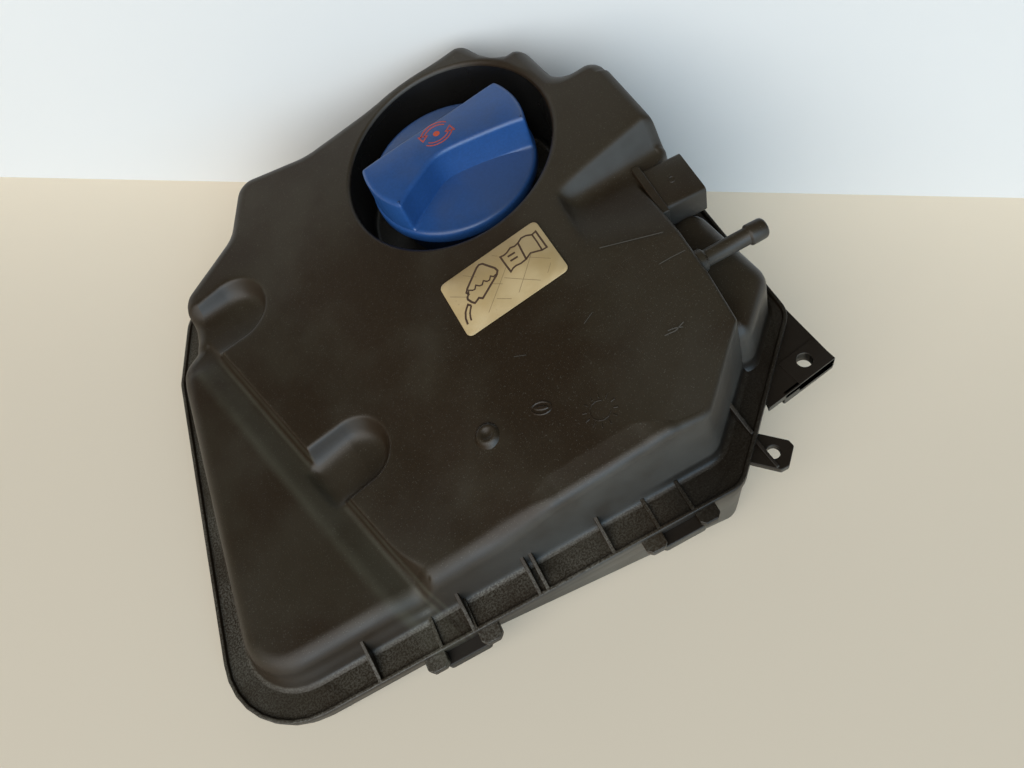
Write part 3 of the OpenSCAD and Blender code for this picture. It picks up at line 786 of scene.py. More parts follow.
@dataclass(frozen=True)
class Plain:
    """A rubber, metal or ink finish with a little life in its tone.

    Attributes:
        name: Name of the finish.
        tone: Its colour.
        rough: Roughness.
        metal: 1 for metal.
        grain: Depth of the grain, in metres.
        scale: Size of the grain, in cycles per metre.
    """

    name: str
    tone: tuple[float, float, float]
    rough: float = 0.5
    metal: float = 0.0
    grain: float = 0.00001
    scale: float = 1500

    def material(self) -> Material:
        """Makes the material."""
        n = Nodes(self.name)
        share = n.ramp(n.noise(120, 4, 0.6), 0.3, 0.7)
        n.link(n.blend(share, self.tone, tuple(c * 0.8 for c in self.tone)), n.shader.inputs["Base Color"])
        n.link(n.ramp(share, 0, 1, self.rough, self.rough + 0.1), n.shader.inputs["Roughness"])
        n.shader.inputs["Metallic"].default_value = self.metal
        n.bump(n.noise(self.scale, 2), self.grain)
        return n.material


@dataclass(frozen=True)
class LabelFilm:
    """Cream label film with blotchy stains in the colour of its crossing safety cuts."""

    name: str = "label_film"
    tone: tuple[float, float, float] = (0.36, 0.255, 0.115)
    pale: tuple[float, float, float] = (0.43, 0.32, 0.165)
    cut: tuple[float, float, float] = (0.2, 0.14, 0.07)

    def material(self) -> Material:
        """Makes the material."""
        n = Nodes(self.name)
        tone = n.blend(n.ramp(n.noise(60, 3), 0.35, 0.65), self.tone, self.pale)
        stain = n.ramp(n.noise(700, 4, 0.7), 0.62, 0.78, 0, 0.5)
        n.link(n.blend(stain, tone, self.cut), n.shader.inputs["Base Color"])
        n.shader.inputs["Roughness"].default_value = 0.5
        n.bump(n.noise(300, 2), 0.00002)
        return n.material


@dataclass(frozen=True)
class Backdrop:
    """A pale matt surface that is clear from behind, so that low views see the part."""

    name: str
    tone: tuple[float, float, float]

    def material(self) -> Material:
        """Makes the material."""
        n = Nodes(self.name)
        n.shader.inputs["Base Color"].default_value = (*self.tone, 1)
        n.shader.inputs["Roughness"].default_value = 0.85
        n.shader.inputs["Specular IOR Level"].default_value = 0.2
        clear = n.add("ShaderNodeBsdfTransparent")
        mix = n.add("ShaderNodeMixShader")
        geometry = n.add("ShaderNodeNewGeometry")
        n.link(geometry.outputs["Backfacing"], mix.inputs[0])
        n.link(n.shader.outputs[0], mix.inputs[1])
        n.link(clear.outputs[0], mix.inputs[2])
        n.link(mix.outputs[0], n.tree.nodes["Material Output"].inputs["Surface"])
        return n.material


UPPER_PLASTIC = MouldedPlastic(
    "upper_plastic",
    (0.0158, 0.0092, 0.0042),
    (0.0225, 0.0158, 0.0088),
    rough=0.42,
    dust=0.7,
    dust_tone=(0.13, 0.122, 0.1),
    # The dust thins towards the right; this also paints shade at the channel's right end.
    dust_fades_to_shade=(-0.035, -0.012),
    haze_and_painted_shade=0.2,
    haze_and_painted_light_tone=(0.058, 0.054, 0.037),
    specular=0.3,
    # Painted sheen on the near-facing sides, paler towards the right.
    near_side_sheen=0.8,
    # Painted shade at the channel's right end, partly a darker ground.
    channel_shade=(0.005, 0.0033, 0.0018),
    highlight_and_residue_stripes=(
        # Painted highlight on the crest.
        (-0.0122, -0.0092, 0.0018, 0.55),
        # Pale residue in the band between crest and gutter.
        (-0.0105, -0.0025, 0.002, 0.38),
        # Painted highlights on the fillet at the foot of the step and on the ridge's rounded top.
        (-0.0024, -0.0012, 0.0006, 0.5),
        (0.0004, 0.0014, 0.0006, 0.45),
    ),
)
# A near-black copy of the tank plastic: painted shade for the deep filler well, with dark dust on its upward
# faces.
SHADED_WELL_PLASTIC = MouldedPlastic(
    "shaded_well_plastic",
    (0.006, 0.0055, 0.005),
    (0.009, 0.008, 0.007),
    rough=0.28,
    grain=0.00001,
    dust=0.5,
    dust_below=0.02,
    dust_tone=(0.05, 0.042, 0.03),
)
LOWER_PLASTIC = MouldedPlastic(
    "lower_plastic",
    (0.009, 0.006, 0.0035),
    (0.014, 0.0105, 0.007),
    rough=0.48,
    # Painted sheen on the lower shell's near-facing sides.
    near_side_sheen=0.75,
    near_sheen_tone=(0.085, 0.08, 0.066),
    specular=0.28,
)
CAP_PLASTIC = MouldedPlastic(
    "cap_plastic",
    (0.014, 0.056, 0.18),
    (0.017, 0.062, 0.19),
    rough=0.36,
    grain=0.00001,
    # The greyer film on the cap's top is partly weathering and partly painted shade: the top is dulled
    # because it catches less light than the sides.
    haze_and_painted_shade=0.34,
    haze_and_painted_light_tone=(0.05, 0.055, 0.07),
)
VALVE_PLASTIC = MouldedPlastic("valve_plastic", (0.012, 0.012, 0.013), (0.018, 0.018, 0.018), rough=0.4)
RUBBER = Plain("seal_rubber", (0.02, 0.02, 0.02), 0.65, grain=0.00002)
STEEL = Plain("spring_steel", (0.5, 0.5, 0.5), 0.3, 1, scale=4000)
BRASS = Plain("valve_brass", (0.65, 0.47, 0.2), 0.35, 1, scale=3000)
PIN_METAL = Plain("pin_metal", (0.62, 0.6, 0.54), 0.22, 1, scale=3000)
LABEL_INK = Plain("label_ink", (0.06, 0.03, 0.015), 0.55, scale=900)
SCRATCH = Plain("scratched_plastic", (0.07, 0.065, 0.055), 0.6, scale=900)
CAP_INK = Plain("cap_ink", (0.45, 0.06, 0.02), 0.5, scale=900)


def finish_piece(
    made: Object,
    finish: Material,
    body: Body,
    slot: Slot,
    *nodes: str,
) -> Object:
    """Gives a piece its finish and body, and hides the solids that it stands for.

    Args:
        made: The piece.
        finish: Its material.
        body: The body that it rides on.
        slot: The record's material slot; not used.
        nodes: The CAD nodes that it replaces.

    Returns:
        The same piece.
    """
    made.data.materials.clear()
    made.data.materials.append(finish)
    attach(made, body.value)
    if nodes:
        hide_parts(*nodes)
    LOG.info("%s rides on %s, %d faces", made.name, body.value, len(made.data.polygons))
    return made


# The upper shell

SHOULDER = Outline(
    (
        (-165, -127, 20),
        (5, -151, 9),
        (33, -131.5, 5),
        (45.5, -66, 3),
        (63, -61, 7),
        (69, -9, 9),
        (53, -4, 6),
        (54, 22, 8),
        (40.5, 24, 6),
        (39, 47, 9),
        (-43, 56.5, 25),
        (-74, 74, 12),
        (-92, 50, 14),
        (-122, 36, 12),
        (-129, 15, 10),
        (-139, 8, 12),
    ),
    edge_step=1.0,
)
RIM = Outline(
    (
        (-178.5, -136.5, 29),
        (4.5, -164, 10),
        (59, -125, 10),
        (78, -2, 14),
        (63, 30, 12),
        (46.5, 56, 10),
        (-43, 64, 30),
        (-77, 82, 14),
        (-97, 55, 16),
        (-127, 39, 14),
        (-142, 11, 12),
    ),
    edge_step=3.0,
)
SHELF = Outline(
    ((21.5, -128, 4), (36, -133, 6), (56, -119, 10), (57, -77, 8), (30.5, -80, 4)),
    edge_step=3.0,
)


@dataclass(frozen=True)
class TopSurface:
    """Height of the tank's top over its plan: folds, groove, dimples, recess and chamfered strip.

    Attributes:
        slope: Rise of the flat right-hand part along x.
        ridge: x at y 0, and x per y, of the ridge beside the groove.
        fold_left: The same of the left fold.
        fold_right: The same of the right fold.
        ridge_z: Height of the ridge.
        fold_left_z: Height of the left fold.
        fold_right_z: Height of the right fold.
        fold_soft: Rounding of the two folds.
        fold_drop: Distance that the whole is lowered.
        gutter_z: Height of the gutter, the groove's lowest line.
        gutter_in: Its distance from the ridge.
        band_w: Distance from the gutter to the crest.
        low_slopes: Slope of the plateau, rise from the gutter, and bend at the crest.
        low_soft: Rounding of the gutter and of the crest.
        low_far_y: y at which the groove ends.
        step_steep: Slope of the step up to the ridge, and how much of it goes at the near end.
        step_eases: y at which the slope begins to go, and the length over which it goes.
        dimples: First and last x from the ridge, middle y, radius and fall of the floor.
        strip_at: A point on the chamfered strip's edge.
        strip_out: Direction across the strip.
        strip_fall: Its slope.
        recess_from: A point on the finger recess's edge.
        recess_in: Direction into the recess.
        recess_fall: Slope of its floor.
        recess_left: x and y of a point on its left side, and x per y.
        recess_top: y and x of a point on its far side, and y per x.
    """

    slope: float = math.tan(math.radians(7.5))
    ridge: tuple[float, float] = (-119.0, -0.156)
    fold_left: tuple[float, float] = (-82.0, -0.079)
    fold_right: tuple[float, float] = (-50.5, -0.02)
    ridge_z: float = -1.15
    fold_left_z: float = 0.85
    fold_right_z: float = 8.35
    fold_soft: tuple[float, float] = (5.0, 2.5)
    fold_drop: float = 0.3
    gutter_z: float = -8.7
    gutter_in: float = 2.6
    band_w: float = 7.6
    low_slopes: tuple[float, float, float] = (0.06, 0.36, 0.31)
    low_soft: tuple[float, float] = (1.2, 1.8)
    low_far_y: float = 10.0
    step_steep: tuple[float, float] = (3.2, 1.9)
    step_eases: tuple[float, float] = (-112.0, 18.0)
    dimples: tuple[tuple[float, float, float, float, float], ...] = (
        (-40.0, 15.5, 10.8, 12.2, -1.0),
        (-4.6, 13.6, -78.2, 10.4, 2.4),
    )
    strip_at: tuple[float, float] = (37.0, -108.0)
    strip_out: tuple[float, float] = (0.616, -0.788)
    strip_fall: float = math.tan(math.radians(20))
    recess_from: tuple[float, float] = (11.0, -77.0)
    recess_in: tuple[float, float] = (0.568, 0.823)
    recess_fall: float = math.tan(math.radians(17))
    recess_left: tuple[float, float, float] = (11.0, -77.0, 0.35)
    recess_top: tuple[float, float, float] = (-53.0, 26.0, -0.09)

    def crease(self, line: tuple[float, float], y: Array) -> Array:
        """x of a crease at y."""
        return line[0] + line[1] * y

    def folds(self, x: Array, y: Array) -> Array:
        """The top with its two folds only."""
        left, right = self.crease(self.fold_left, y), self.crease(self.fold_right, y)
        far_slope = (self.fold_left_z - self.ridge_z) / (left - self.crease(self.ridge, y))
        mid_slope = (self.fold_right_z - self.fold_left_z) / (right - left)
        z = self.fold_left_z + far_slope * (x - left)
        z = z + (mid_slope - far_slope) * soft_ramp(x - left, self.fold_soft[0])
        z = z + (self.slope - mid_slope) * soft_ramp(x - right, self.fold_soft[1])
        return z - self.fold_drop

    def tilt(self) -> Matrix:
        """The turn that lays a level thing on the flat right-hand part."""
        return Matrix.Rotation(-math.atan(self.slope), 4, "Y")

    def low_end(self, x: Array, y: Array) -> Array:
        """The low end left of the ridge: plateau, crest and gutter."""
        gutter = self.crease(self.ridge, y) - self.gutter_in
        crest = gutter - self.band_w
        plateau, rise, bend = self.low_slopes
        z = self.gutter_z + plateau * (x - gutter)
        z = z + rise * soft_ramp(gutter - x, self.low_soft[0])
        return z - bend * soft_ramp(crest - x, self.low_soft[1])

    def sink(
        self, z: Array, floor: Array, outside: Array, steep: float | Array, top: float, bottom: float
    ) -> Array:
        """Sinks a pocket into a height.

        Args:
            z: The height so far.
            floor: The pocket's floor.
            outside: Distance outside the pocket's edge, negative inside.
            steep: Slope of its walls.
            top: Rounding at its mouth.
            bottom: Rounding at its floor.

        Returns:
            The height with the pocket.
        """
        return soft_min(z, floor + steep * soft_ramp(outside, bottom), top)

    def __call__(self, x: Array, y: Array) -> Array:
        """Height at each x and y."""
        x, y = np.asarray(x, float), np.asarray(y, float)
        z = self.folds(x, y)
        ridge = self.crease(self.ridge, y)
        beyond = soft_max(x - ridge, y - self.low_far_y, 1.5)
        near = np.clip((self.step_eases[0] - y) / self.step_eases[1], 0, 1)
        steep = self.step_steep[0] - self.step_steep[1] * near * near * (3 - 2 * near)
        z = self.sink(z, self.low_end(x, y), beyond, steep, 1.2, 1.0)
        for first, last, middle, radius, sunk in self.dimples:
            end = self.crease(self.ridge, np.asarray(middle)) + last
            out = np.hypot(np.maximum(x - end, 0), y - middle) - radius
            out = soft_max(out, ridge + first - x, 2.5)
            floor = self.gutter_z - sunk * np.clip((end - x) / 16.0, 0, 1)
            z = self.sink(z, floor, out, 2.6, 1.3, 2.4)
        past = (x - self.strip_at[0]) * self.strip_out[0] + (y - self.strip_at[1]) * self.strip_out[1]
        z = z - self.strip_fall * soft_ramp(past, 0.8)
        depth = (x - self.recess_from[0]) * self.recess_in[0]
        depth = depth + (y - self.recess_from[1]) * self.recess_in[1]
        floor = self.folds(x, y) - self.recess_fall * soft_ramp(depth, 0.4)
        side_x, side_y, side_lean = self.recess_left
        left = (side_x + side_lean * (y - side_y)) - x
        end_y, end_x, end_lean = self.recess_top
        top = y - (end_y + end_lean * (x - end_x))
        walls = soft_max(left, top, 3.0)
        return self.sink(z, floor, walls, 2.2, 2.0, 3.0)


TOP = TopSurface()


@dataclass
class UpperShell:
    """The upper moulding with its channel, rim, ribs, shelf, well and neck.

    Attributes:
        floor_z: Height of the channel's floor.
        under_z: Height of its underside.
        lean: Distance that the walls lean inwards.
        shoulder: Rounding of the shoulder where it is widest.
        wide_x: x left of which it is always that wide.
        near_y: y below which the outline is the long near side.
        near_radius: x and rounding along that side.
        crisp_corner: x above which and y below which the shoulder is crisp, and its rounding.
        right_side: x above which, y from which and y to which it is rounder again, and its rounding.
        facet_span: x between which the near side's shoulder has a facet.
        facet_w: Width of the facet.
        facet_tilt: Its tilt, in degrees.
        facet_steps: Shares of its width at which it has points.
        foot: Rounding at the foot of the walls.
        spacing: Least distance of the top's points from its borders.
        well_r: Radius of the filler well.
        well_z: Height of its floor.
        mouth_w: Width kept for the rounding of its mouth.
        mouth_gap: Width kept between that rounding and the shoulder.
        neck_r: Outer radius of the neck.
        bore_r: Radius of its bore.
        rim_t: Width of the channel's rim.
        rim_h: Its height.
        shelf_z: Height of the shelf.
        rib_stations: x of each rib.
        clip_stations: x of each clip.
        material: The finish, made by build.
    """

    floor_z: float = -20.0
    under_z: float = -23.0
    lean: float = 2.0
    shoulder: float = 7.0
    wide_x: float = -60.0
    near_y: float = -118.0
    near_radius: tuple[tuple[float, ...], ...] = ((-130, -62, -50, -10, 0), (7.0, 7.0, 4.2, 3.6, 2.6))
    crisp_corner: tuple[float, float, float] = (31.0, -62.0, 1.6)
    right_side: tuple[float, float, float, float] = (40.0, -62.0, -20.0, 4.5)
    facet_span: tuple[float, float] = (-53.0, -11.0)
    facet_w: float = 6.5
    facet_tilt: float = 7.0
    facet_steps: tuple[float, ...] = (0.15, 0.3, 0.97, 1.0)
    foot: float = 2.4
    spacing: float = 0.55
    well_r: float = 42.5
    well_z: float = -17.0
    mouth_w: float = 1.5
    mouth_gap: float = 0.5
    neck_r: float = 25.6
    bore_r: float = 22.2
    rim_t: float = 1.4
    rim_h: float = 1.4
    shelf_z: float = 4.0
    rib_stations: tuple[float, ...] = (-127, -93, -69, -66, -42)
    clip_stations: tuple[float, ...] = (-98.5, -19.5)
    material: Material = field(init=False)

    def shoulder_radius(self, ring: Array) -> Array:
        """Rounding of the shoulder at each point of the outline.

        Args:
            ring: Points of the outline.

        Returns:
            A radius for each point.
        """
        x, y = ring[:, 0], ring[:, 1]
        room = np.hypot(x, y) - self.well_r - self.mouth_w - self.lean - self.mouth_gap
        radius = np.where(x < self.wide_x, self.shoulder, np.clip(room, 0.8, self.shoulder))
        radius = np.where(y < self.near_y, np.interp(x, *self.near_radius), radius)
        left, far, crisp = self.crisp_corner
        radius = np.where((x > left) & (y < far), crisp, radius)
        left, near, far, soft = self.right_side
        radius = np.where((x > left) & (y >= near) & (y < far), soft, radius)
        return np.minimum(smooth_round(radius, 7), np.maximum(radius, 1.0))

    def skin(self) -> Object:
        """The top, the well and the side walls."""
        table = SHOULDER.rings(self.lean + 2.2 * self.shoulder)
        radius = self.shoulder_radius(SHOULDER.ring())
        plan = SHOULDER.ring()
        along = (plan[:, 0] > self.facet_span[0]) & (plan[:, 0] < self.facet_span[1])
        flat = (plan[:, 1] < self.near_y) & along
        facet = smooth_round(np.where(flat, 1.0, 0.0), 5)
        start = np.radians(self.facet_tilt) * facet
        facet = self.facet_w * facet
        edge_in = self.lean + radius * (1 - np.sin(start))
        inner = Outline.at(table, edge_in + facet)
        top = TOP(inner[:, 0], inner[:, 1])
        rings: list[Array] = [lift(inner, top)]
        fall = facet * np.tan(start)
        for share in self.facet_steps:
            ring = Outline.at(table, edge_in + facet * (1 - share) - 0.02 * share)
            rings.append(lift(ring, top - fall * share * min(1.0, 0.7 + share)))
        for share in np.linspace(0, 1, 9)[1:]:
            angle = start + (math.pi / 2 - start) * share
            ring = Outline.at(table, self.lean + radius * (1 - np.sin(angle)))
            rings.append(lift(ring, top - fall - radius * (np.cos(start) - np.cos(angle))))
        foot = self.foot
        shoulder_foot = top - fall - radius * np.cos(start)
        for share in (0.33, 0.66, 1.0):
            ring = Outline.at(table, np.full(len(top), self.lean * (1 - share)))
            rings.append(lift(ring, shoulder_foot + (self.floor_z + foot - shoulder_foot) * share))
        for angle in np.linspace(0, math.pi / 2, 5)[1:]:
            ring = Outline.at(table, np.full(len(top), -foot * (1 - math.cos(angle))))
            rings.append(lift(ring, self.floor_z + foot * (1 - math.sin(angle)) - 0.02))
        mouth = self.mouth_ring()
        points = scatter(TOP, (-176, -160), (76, 84))
        near = distance_to(points, np.concatenate([inner, mouth]))
        kept = inside(points, inner) & ~inside(points, mouth) & (near > self.spacing)
        skin = Skin().rings(rings[::-1])
        skin.fill(inner, TOP, [mouth], points[kept])
        skin.rings(self.mouth_rings())
        return skin.build("upper_top", normals=Normals(TOP))

    def mouth_width(self) -> Array:
        """Rounding at the well's mouth, wider where the top round it is wide."""
        angle = np.linspace(0, 2 * math.pi, 160, endpoint=False)
        near = 0.5 - 0.5 * np.sin(angle - 0.5)
        return 1.4 + 1.8 * near**1.5

    def mouth_ring(self) -> Array:
        """The outermost ring of the well's mouth."""
        return circle(self.well_r + self.mouth_width())

    def mouth_rings(self) -> list[Array]:
        """The rounded mouth of the well, from the top inwards and down."""
        width = self.mouth_width()
        mouth = self.mouth_ring()
        top = TOP(mouth[:, 0], mouth[:, 1])
        rings = []
        for angle in np.linspace(0, math.pi / 2, 7):
            ring = circle(self.well_r + width * (1 - math.sin(angle)))
            rings.append(lift(ring, top - width * (1 - math.cos(angle))))
        return rings

    def well(self) -> Object:
        """The well's wall and floor, from the mouth down to the neck."""
        rings = [self.mouth_rings()[-1], lift(circle(self.well_r), self.well_z + 2.5)]
        for angle in np.linspace(0, math.pi / 2, 5)[1:]:
            radius = self.well_r - 2.5 * (1 - math.cos(angle))
            rings.append(lift(circle(radius), self.well_z + 2.5 * (1 - math.sin(angle))))
        rings.append(lift(circle(self.neck_r - 2), self.well_z))
        return Skin().rings(rings).build("filler_well")

    def neck(self) -> Object:
        """The neck: a tube with a thread of three turns."""
        root, crest, pitch = self.neck_r - 1.3, self.neck_r - 0.1, 4.0
        count, rows = 96, 65
        heights = np.linspace(self.well_z + 0.2, -0.6, rows)
        angles = np.linspace(0, 2 * math.pi, count, endpoint=False)
        rings = [lift(circle(self.neck_r, count), self.well_z - 0.4)]
        rings.append(lift(circle(root + 0.5, count), heights[0]))
        for z in heights[1:]:
            phase = (z / pitch - angles / (2 * math.pi)) % 1.0
            ridge = np.clip(1 - np.abs(phase - 0.5) / 0.22, 0, 1)
            fade = np.clip((z + 14.5) / 2, 0, 1) * np.clip((-1.4 - z) / 1.5, 0, 1)
            rings.append(lift(circle(root + (crest - root) * np.minimum(ridge * 1.6, 1) * fade, count), z))
        for r, z in ((root - 0.2, -0.15), (root - 0.7, 0), (self.bore_r + 0.5, 0), (self.bore_r, -0.5)):
            rings.append(lift(circle(r, count), z))
        rings.append(lift(circle(self.bore_r, count), -19.5))
        rings.append(lift(circle(self.neck_r, count), -19.6))
        return Skin().rings(rings).build("neck")

    def channel(self) -> Object:
        """The channel's floor with the rim round it."""
        t, h = self.rim_t, self.rim_h
        f, u = self.floor_z, self.under_z
        steps = [
            (0.3, u),
            (0.0, u + 0.3),
            (0.0, f + h - 0.4),
            (0.12, f + h - 0.12),
            (0.4, f + h),
            (t - 0.4, f + h),
            (t - 0.12, f + h - 0.12),
            (t, f + h - 0.4),
            (t, f + 0.5),
            (t + 0.15, f + 0.15),
            (t + 0.5, f),
        ]
        rings = [lift(RIM.ring(d), z) for d, z in steps]
        skin = Skin().rings(rings)
        skin.fill(RIM.ring(t + 0.5), f)
        skin.fill(RIM.ring(0.3), u, down=True)
        return skin.build("channel")

    def shelf(self) -> Object:
        """The lower shelf under the sensor socket and the vent nipple."""
        r, top = 7.0, self.shelf_z
        rings = [lift(SHELF.ring(-1.6), self.floor_z - 0.02), lift(SHELF.ring(-0.4), self.floor_z + 0.8)]
        rings.append(lift(SHELF.ring(0), self.floor_z + 2.4))
        for angle in np.linspace(math.pi / 2, 0, 9):
            rings.append(lift(SHELF.ring(1 + r * (1 - math.sin(angle))), top - r * (1 - math.cos(angle))))
        skin = Skin().rings(rings)
        skin.fill(SHELF.ring(1 + r), top)
        return skin.build("shelf")

    def rim_place(self, x: float) -> Matrix:
        """A place on the rim's long straight side, counted in x."""
        a, b = np.array(RIM.corners[0][:2]), np.array(RIM.corners[1][:2])
        run = (b - a) / np.linalg.norm(b - a)
        spot = a + run * (x - a[0]) / run[0]
        return turn_z(math.degrees(math.atan2(run[1], run[0])), (spot[0], spot[1], 0))

    def rib(self, name: str, place: Matrix, reach: float = 15.0, rise: float = 7.0) -> Object:
        """A rib across the channel, from the rim up to the wall.

        Args:
            name: Name of the piece.
            place: Its foot on the rim, with +Y towards the wall.
            reach: Its length.
            rise: Its height at the wall.

        Returns:
            The new object.
        """
        f = self.floor_z
        side = [(0.3, f - 0.5), (reach, f - 0.5), (reach, f + rise)]
        side += [(2.5, f + self.rim_h + 0.4), (0.3, f + self.rim_h)]
        stand = upright(place)
        return prism(side, -0.7, 0.7, name, stand, edge=0.35)

    def clip(self, x: float, number: int) -> list[Object]:
        """The two ears of a clip and the pocket walls behind them.

        Args:
            x: Where the clip's middle is.
            number: The clip's number.

        Returns:
            The new objects.
        """
        made = []
        place = self.rim_place(x)
        for side, left in enumerate((-13.5, 6.0)):
            low, high = left, left + 7.5
            plan = [(low, 1.5), (low, -3.4), (low + 1.6, -5), (high - 1.6, -5), (high, -3.4), (high, 1.5)]
            name = f"clip_{number}_ear_{side}"
            made.append(prism(plan, self.under_z, self.floor_z + 0.2, name, place, 0.5))
        for side, left in enumerate((-7.0, 5.6)):
            plan = [(left, 1.0), (left + 1.4, 1.0), (left + 1.4, 12.5), (left, 12.5)]
            name = f"clip_{number}_wall_{side}"
            made.append(prism(plan, self.floor_z - 0.5, self.floor_z + 1.4, name, place, 0.3))
        return made

    def small_marks(self) -> list[Object]:
        """The raised boss, the oval mark and the dial on the top."""
        made = []
        spots = {"boss": (-52.5, -107.8), "oval_mark": (-33.8, -113.0), "dial": (-20.2, -126.7)}
        for name, (x, y) in spots.items():
            z = float(TOP(np.array(x), np.array(y)))
            place = Matrix.Translation((x, y, z)) @ TOP.tilt()
            skin = Skin()
            if name == "boss":
                profile = [(0.01, 0.9), (1.2, 0.95), (1.9, 1.5), (2.7, 1.75)]
                profile += [(3.4, 1.5), (4.1, 0.6), (4.8, -0.3)]
                skin.turned(profile, 48)
                made.append(skin.build(name, place))
            elif name == "oval_mark":
                ring = circle(1.0, 40)
                steps = ((3.7, 2.5, -0.2), (3.5, 2.3, 0.3), (3.2, 2.0, 0.3), (3.0, 1.8, -0.1))
                skin.rings([lift(ring * (a, b), h) for a, b, h in steps])
                steps = ((2.6, 0.9, -0.2), (2.4, 0.7, 0.35), (2.1, 0.4, 0.4))
                rings = [lift(ring * (a, b), h) for a, b, h in steps]
                skin.rings(rings).fill(rings[-1][:, :2], 0.4)
                made.append(skin.build(name, place @ spin(-34, "Z")))
            else:
                for k in range(12):
                    turn = Matrix.Rotation(k * math.pi / 6, 4, "Z") @ Matrix.Translation((5.0, 0, 0))
                    tick = [(-0.8, -0.22), (0.8, -0.22), (0.8, 0.22), (-0.8, 0.22)]
                    made.append(prism(tick, -0.1, 0.25, f"dial_{k}", place @ turn, 0.15))
                for k in range(9):
                    turn = spin(60 + 30 * k, "Z") @ Matrix.Translation((3.3, 0, 0))
                    arc = [(-0.15, -0.95), (0.15, -0.95), (0.15, 0.95), (-0.15, 0.95)]
                    made.append(prism(arc, -0.1, 0.22, f"dial_arc_{k}", place @ turn, 0.1))
        return made

    def scratches(self) -> Object:
        """Pale scratches on the flat right-hand part of the top."""
        pen = Label(centre=(0.0, 0.0), turn=0.0, thick=-0.03)
        lines = [
            ([(15.1, -80.7), (23.7, -86.0), (33.5, -92.0)], 0.3),
            ([(25.0, -100.4), (29.0, -101.2), (34.0, -102.6)], 0.28),
            ([(9.9, -121.4), (13.4, -122.5), (17.1, -121.9)], 0.35),
            ([(11.7, -120.8), (13.8, -121.6), (15.8, -123.0)], 0.32),
            ([(-6.0, -99.5), (-1.5, -98.2)], 0.2),
            ([(-30.5, -92.0), (-27.0, -94.5)], 0.18),
        ]
        made = [pen.stroke(line, width, f"scratch_{i}") for i, (line, width) in enumerate(lines)]
        return joined("top_scratches", made)

    def build(self) -> None:
        """Builds and dresses every piece of the upper shell."""
        self.material = UPPER_PLASTIC.material()
        pieces = [self.skin(), self.neck(), self.channel(), self.shelf()]
        ribs = [self.rib(f"rib_{i}", self.rim_place(x)) for i, x in enumerate(self.rib_stations)]
        ribs.append(self.rib("rib_corner", turn_z(0, (18.6, -152.5, 0)), 12.0, 6.0))
        pieces.append(joined("channel_ribs", ribs))
        clips = [part for i, x in enumerate(self.clip_stations) for part in self.clip(x, i)]
        pieces.append(joined("clip_ears", clips))
        pieces.append(joined("top_marks", self.small_marks()))
        for piece in pieces:
            finish_piece(piece, self.material, Body.TANK, Slot.UPPER, "upper_shell")
        finish_piece(self.well(), SHADED_WELL_PLASTIC.material(), Body.TANK, Slot.UPPER, "upper_shell")
        finish_piece(self.scratches(), SCRATCH.material(), Body.TANK, Slot.UPPER, "upper_shell")


# Ports on the upper shell


@dataclass
class SensorSocket:
    """The two-pin socket of the level sensor, open at its outer end."""

    root: tuple[float, float, float] = (43.5, -70.5, 6.8)
    turn: float = -11.0
    width: float = 20.0
    height: float = 12.0
    length: float = 17.0
    wall: float = 1.8
    pitch: float = 8.0

    def build(self, plastic: Material) -> None:
        """Builds the housing, its collar, its gate ring and its latch.

        Args:
            plastic: The upper shell's material.
        """
        place = turn_z(self.turn, self.root)
        parts = [self.housing(place), self.collar(place)]
        parts += self.details(place)
        finish_piece(joined("socket_housing", parts), plastic, Body.TANK, Slot.UPPER, "upper_shell")

    def housing(self, place: Matrix) -> Object:
        """The open box, drawn as rings along its axis."""
        w, h, t, end = self.width / 2, self.height / 2, self.wall, self.length
        outer = Outline(((-w, -h, 1.6), (w, -h, 1.6), (w, h, 1.6), (-w, h, 1.6)), 4, 4.0)
        steps = [(-0.1, 0.0), (0.0, end - 0.4), (0.12, end - 0.12), (0.4, end)]
        steps += [(t - 0.3, end), (t - 0.08, end - 0.1), (t, end - 0.4), (t, 3.0)]
        rings = [lift(outer.ring(d), along) for d, along in steps]
        skin = Skin().rings(rings)
        skin.fill(outer.ring(t), 3.0)
        lie = upright(place)
        return skin.build("housing", lie)

    def collar(self, place: Matrix) -> Object:
        """The thin plate between the housing and the wall."""
        w, h = self.width / 2 + 2, self.height / 2 + 1
        plan = [(-w, -h), (w, -h), (w, h), (-w, h)]
        lie = upright(place)
        return prism(plan, -1.0, 2.0, "collar", lie, 0.5)

    def details(self, place: Matrix) -> list[Object]:
        """The round gate mark on top and the latch at the far side."""
        z = self.height / 2
        rings = [(1.5, z - 0.1), (1.4, z + 0.2), (1.2, z + 0.28), (1.0, z + 0.2), (0.9, z - 0.1)]
        ring = Skin().rings([lift(circle(r, 32, (9.0, 0.2)), h) for r, h in rings])
        made = [ring.build("gate_ring", place)]
        far = self.width / 2
        latch = [(4, far - 0.5), (12, far - 0.5), (12, far + 2.4), (4, far + 2.4)]
        made.append(prism(latch, -2, -0.4, "latch", place, 0.3))
        return made


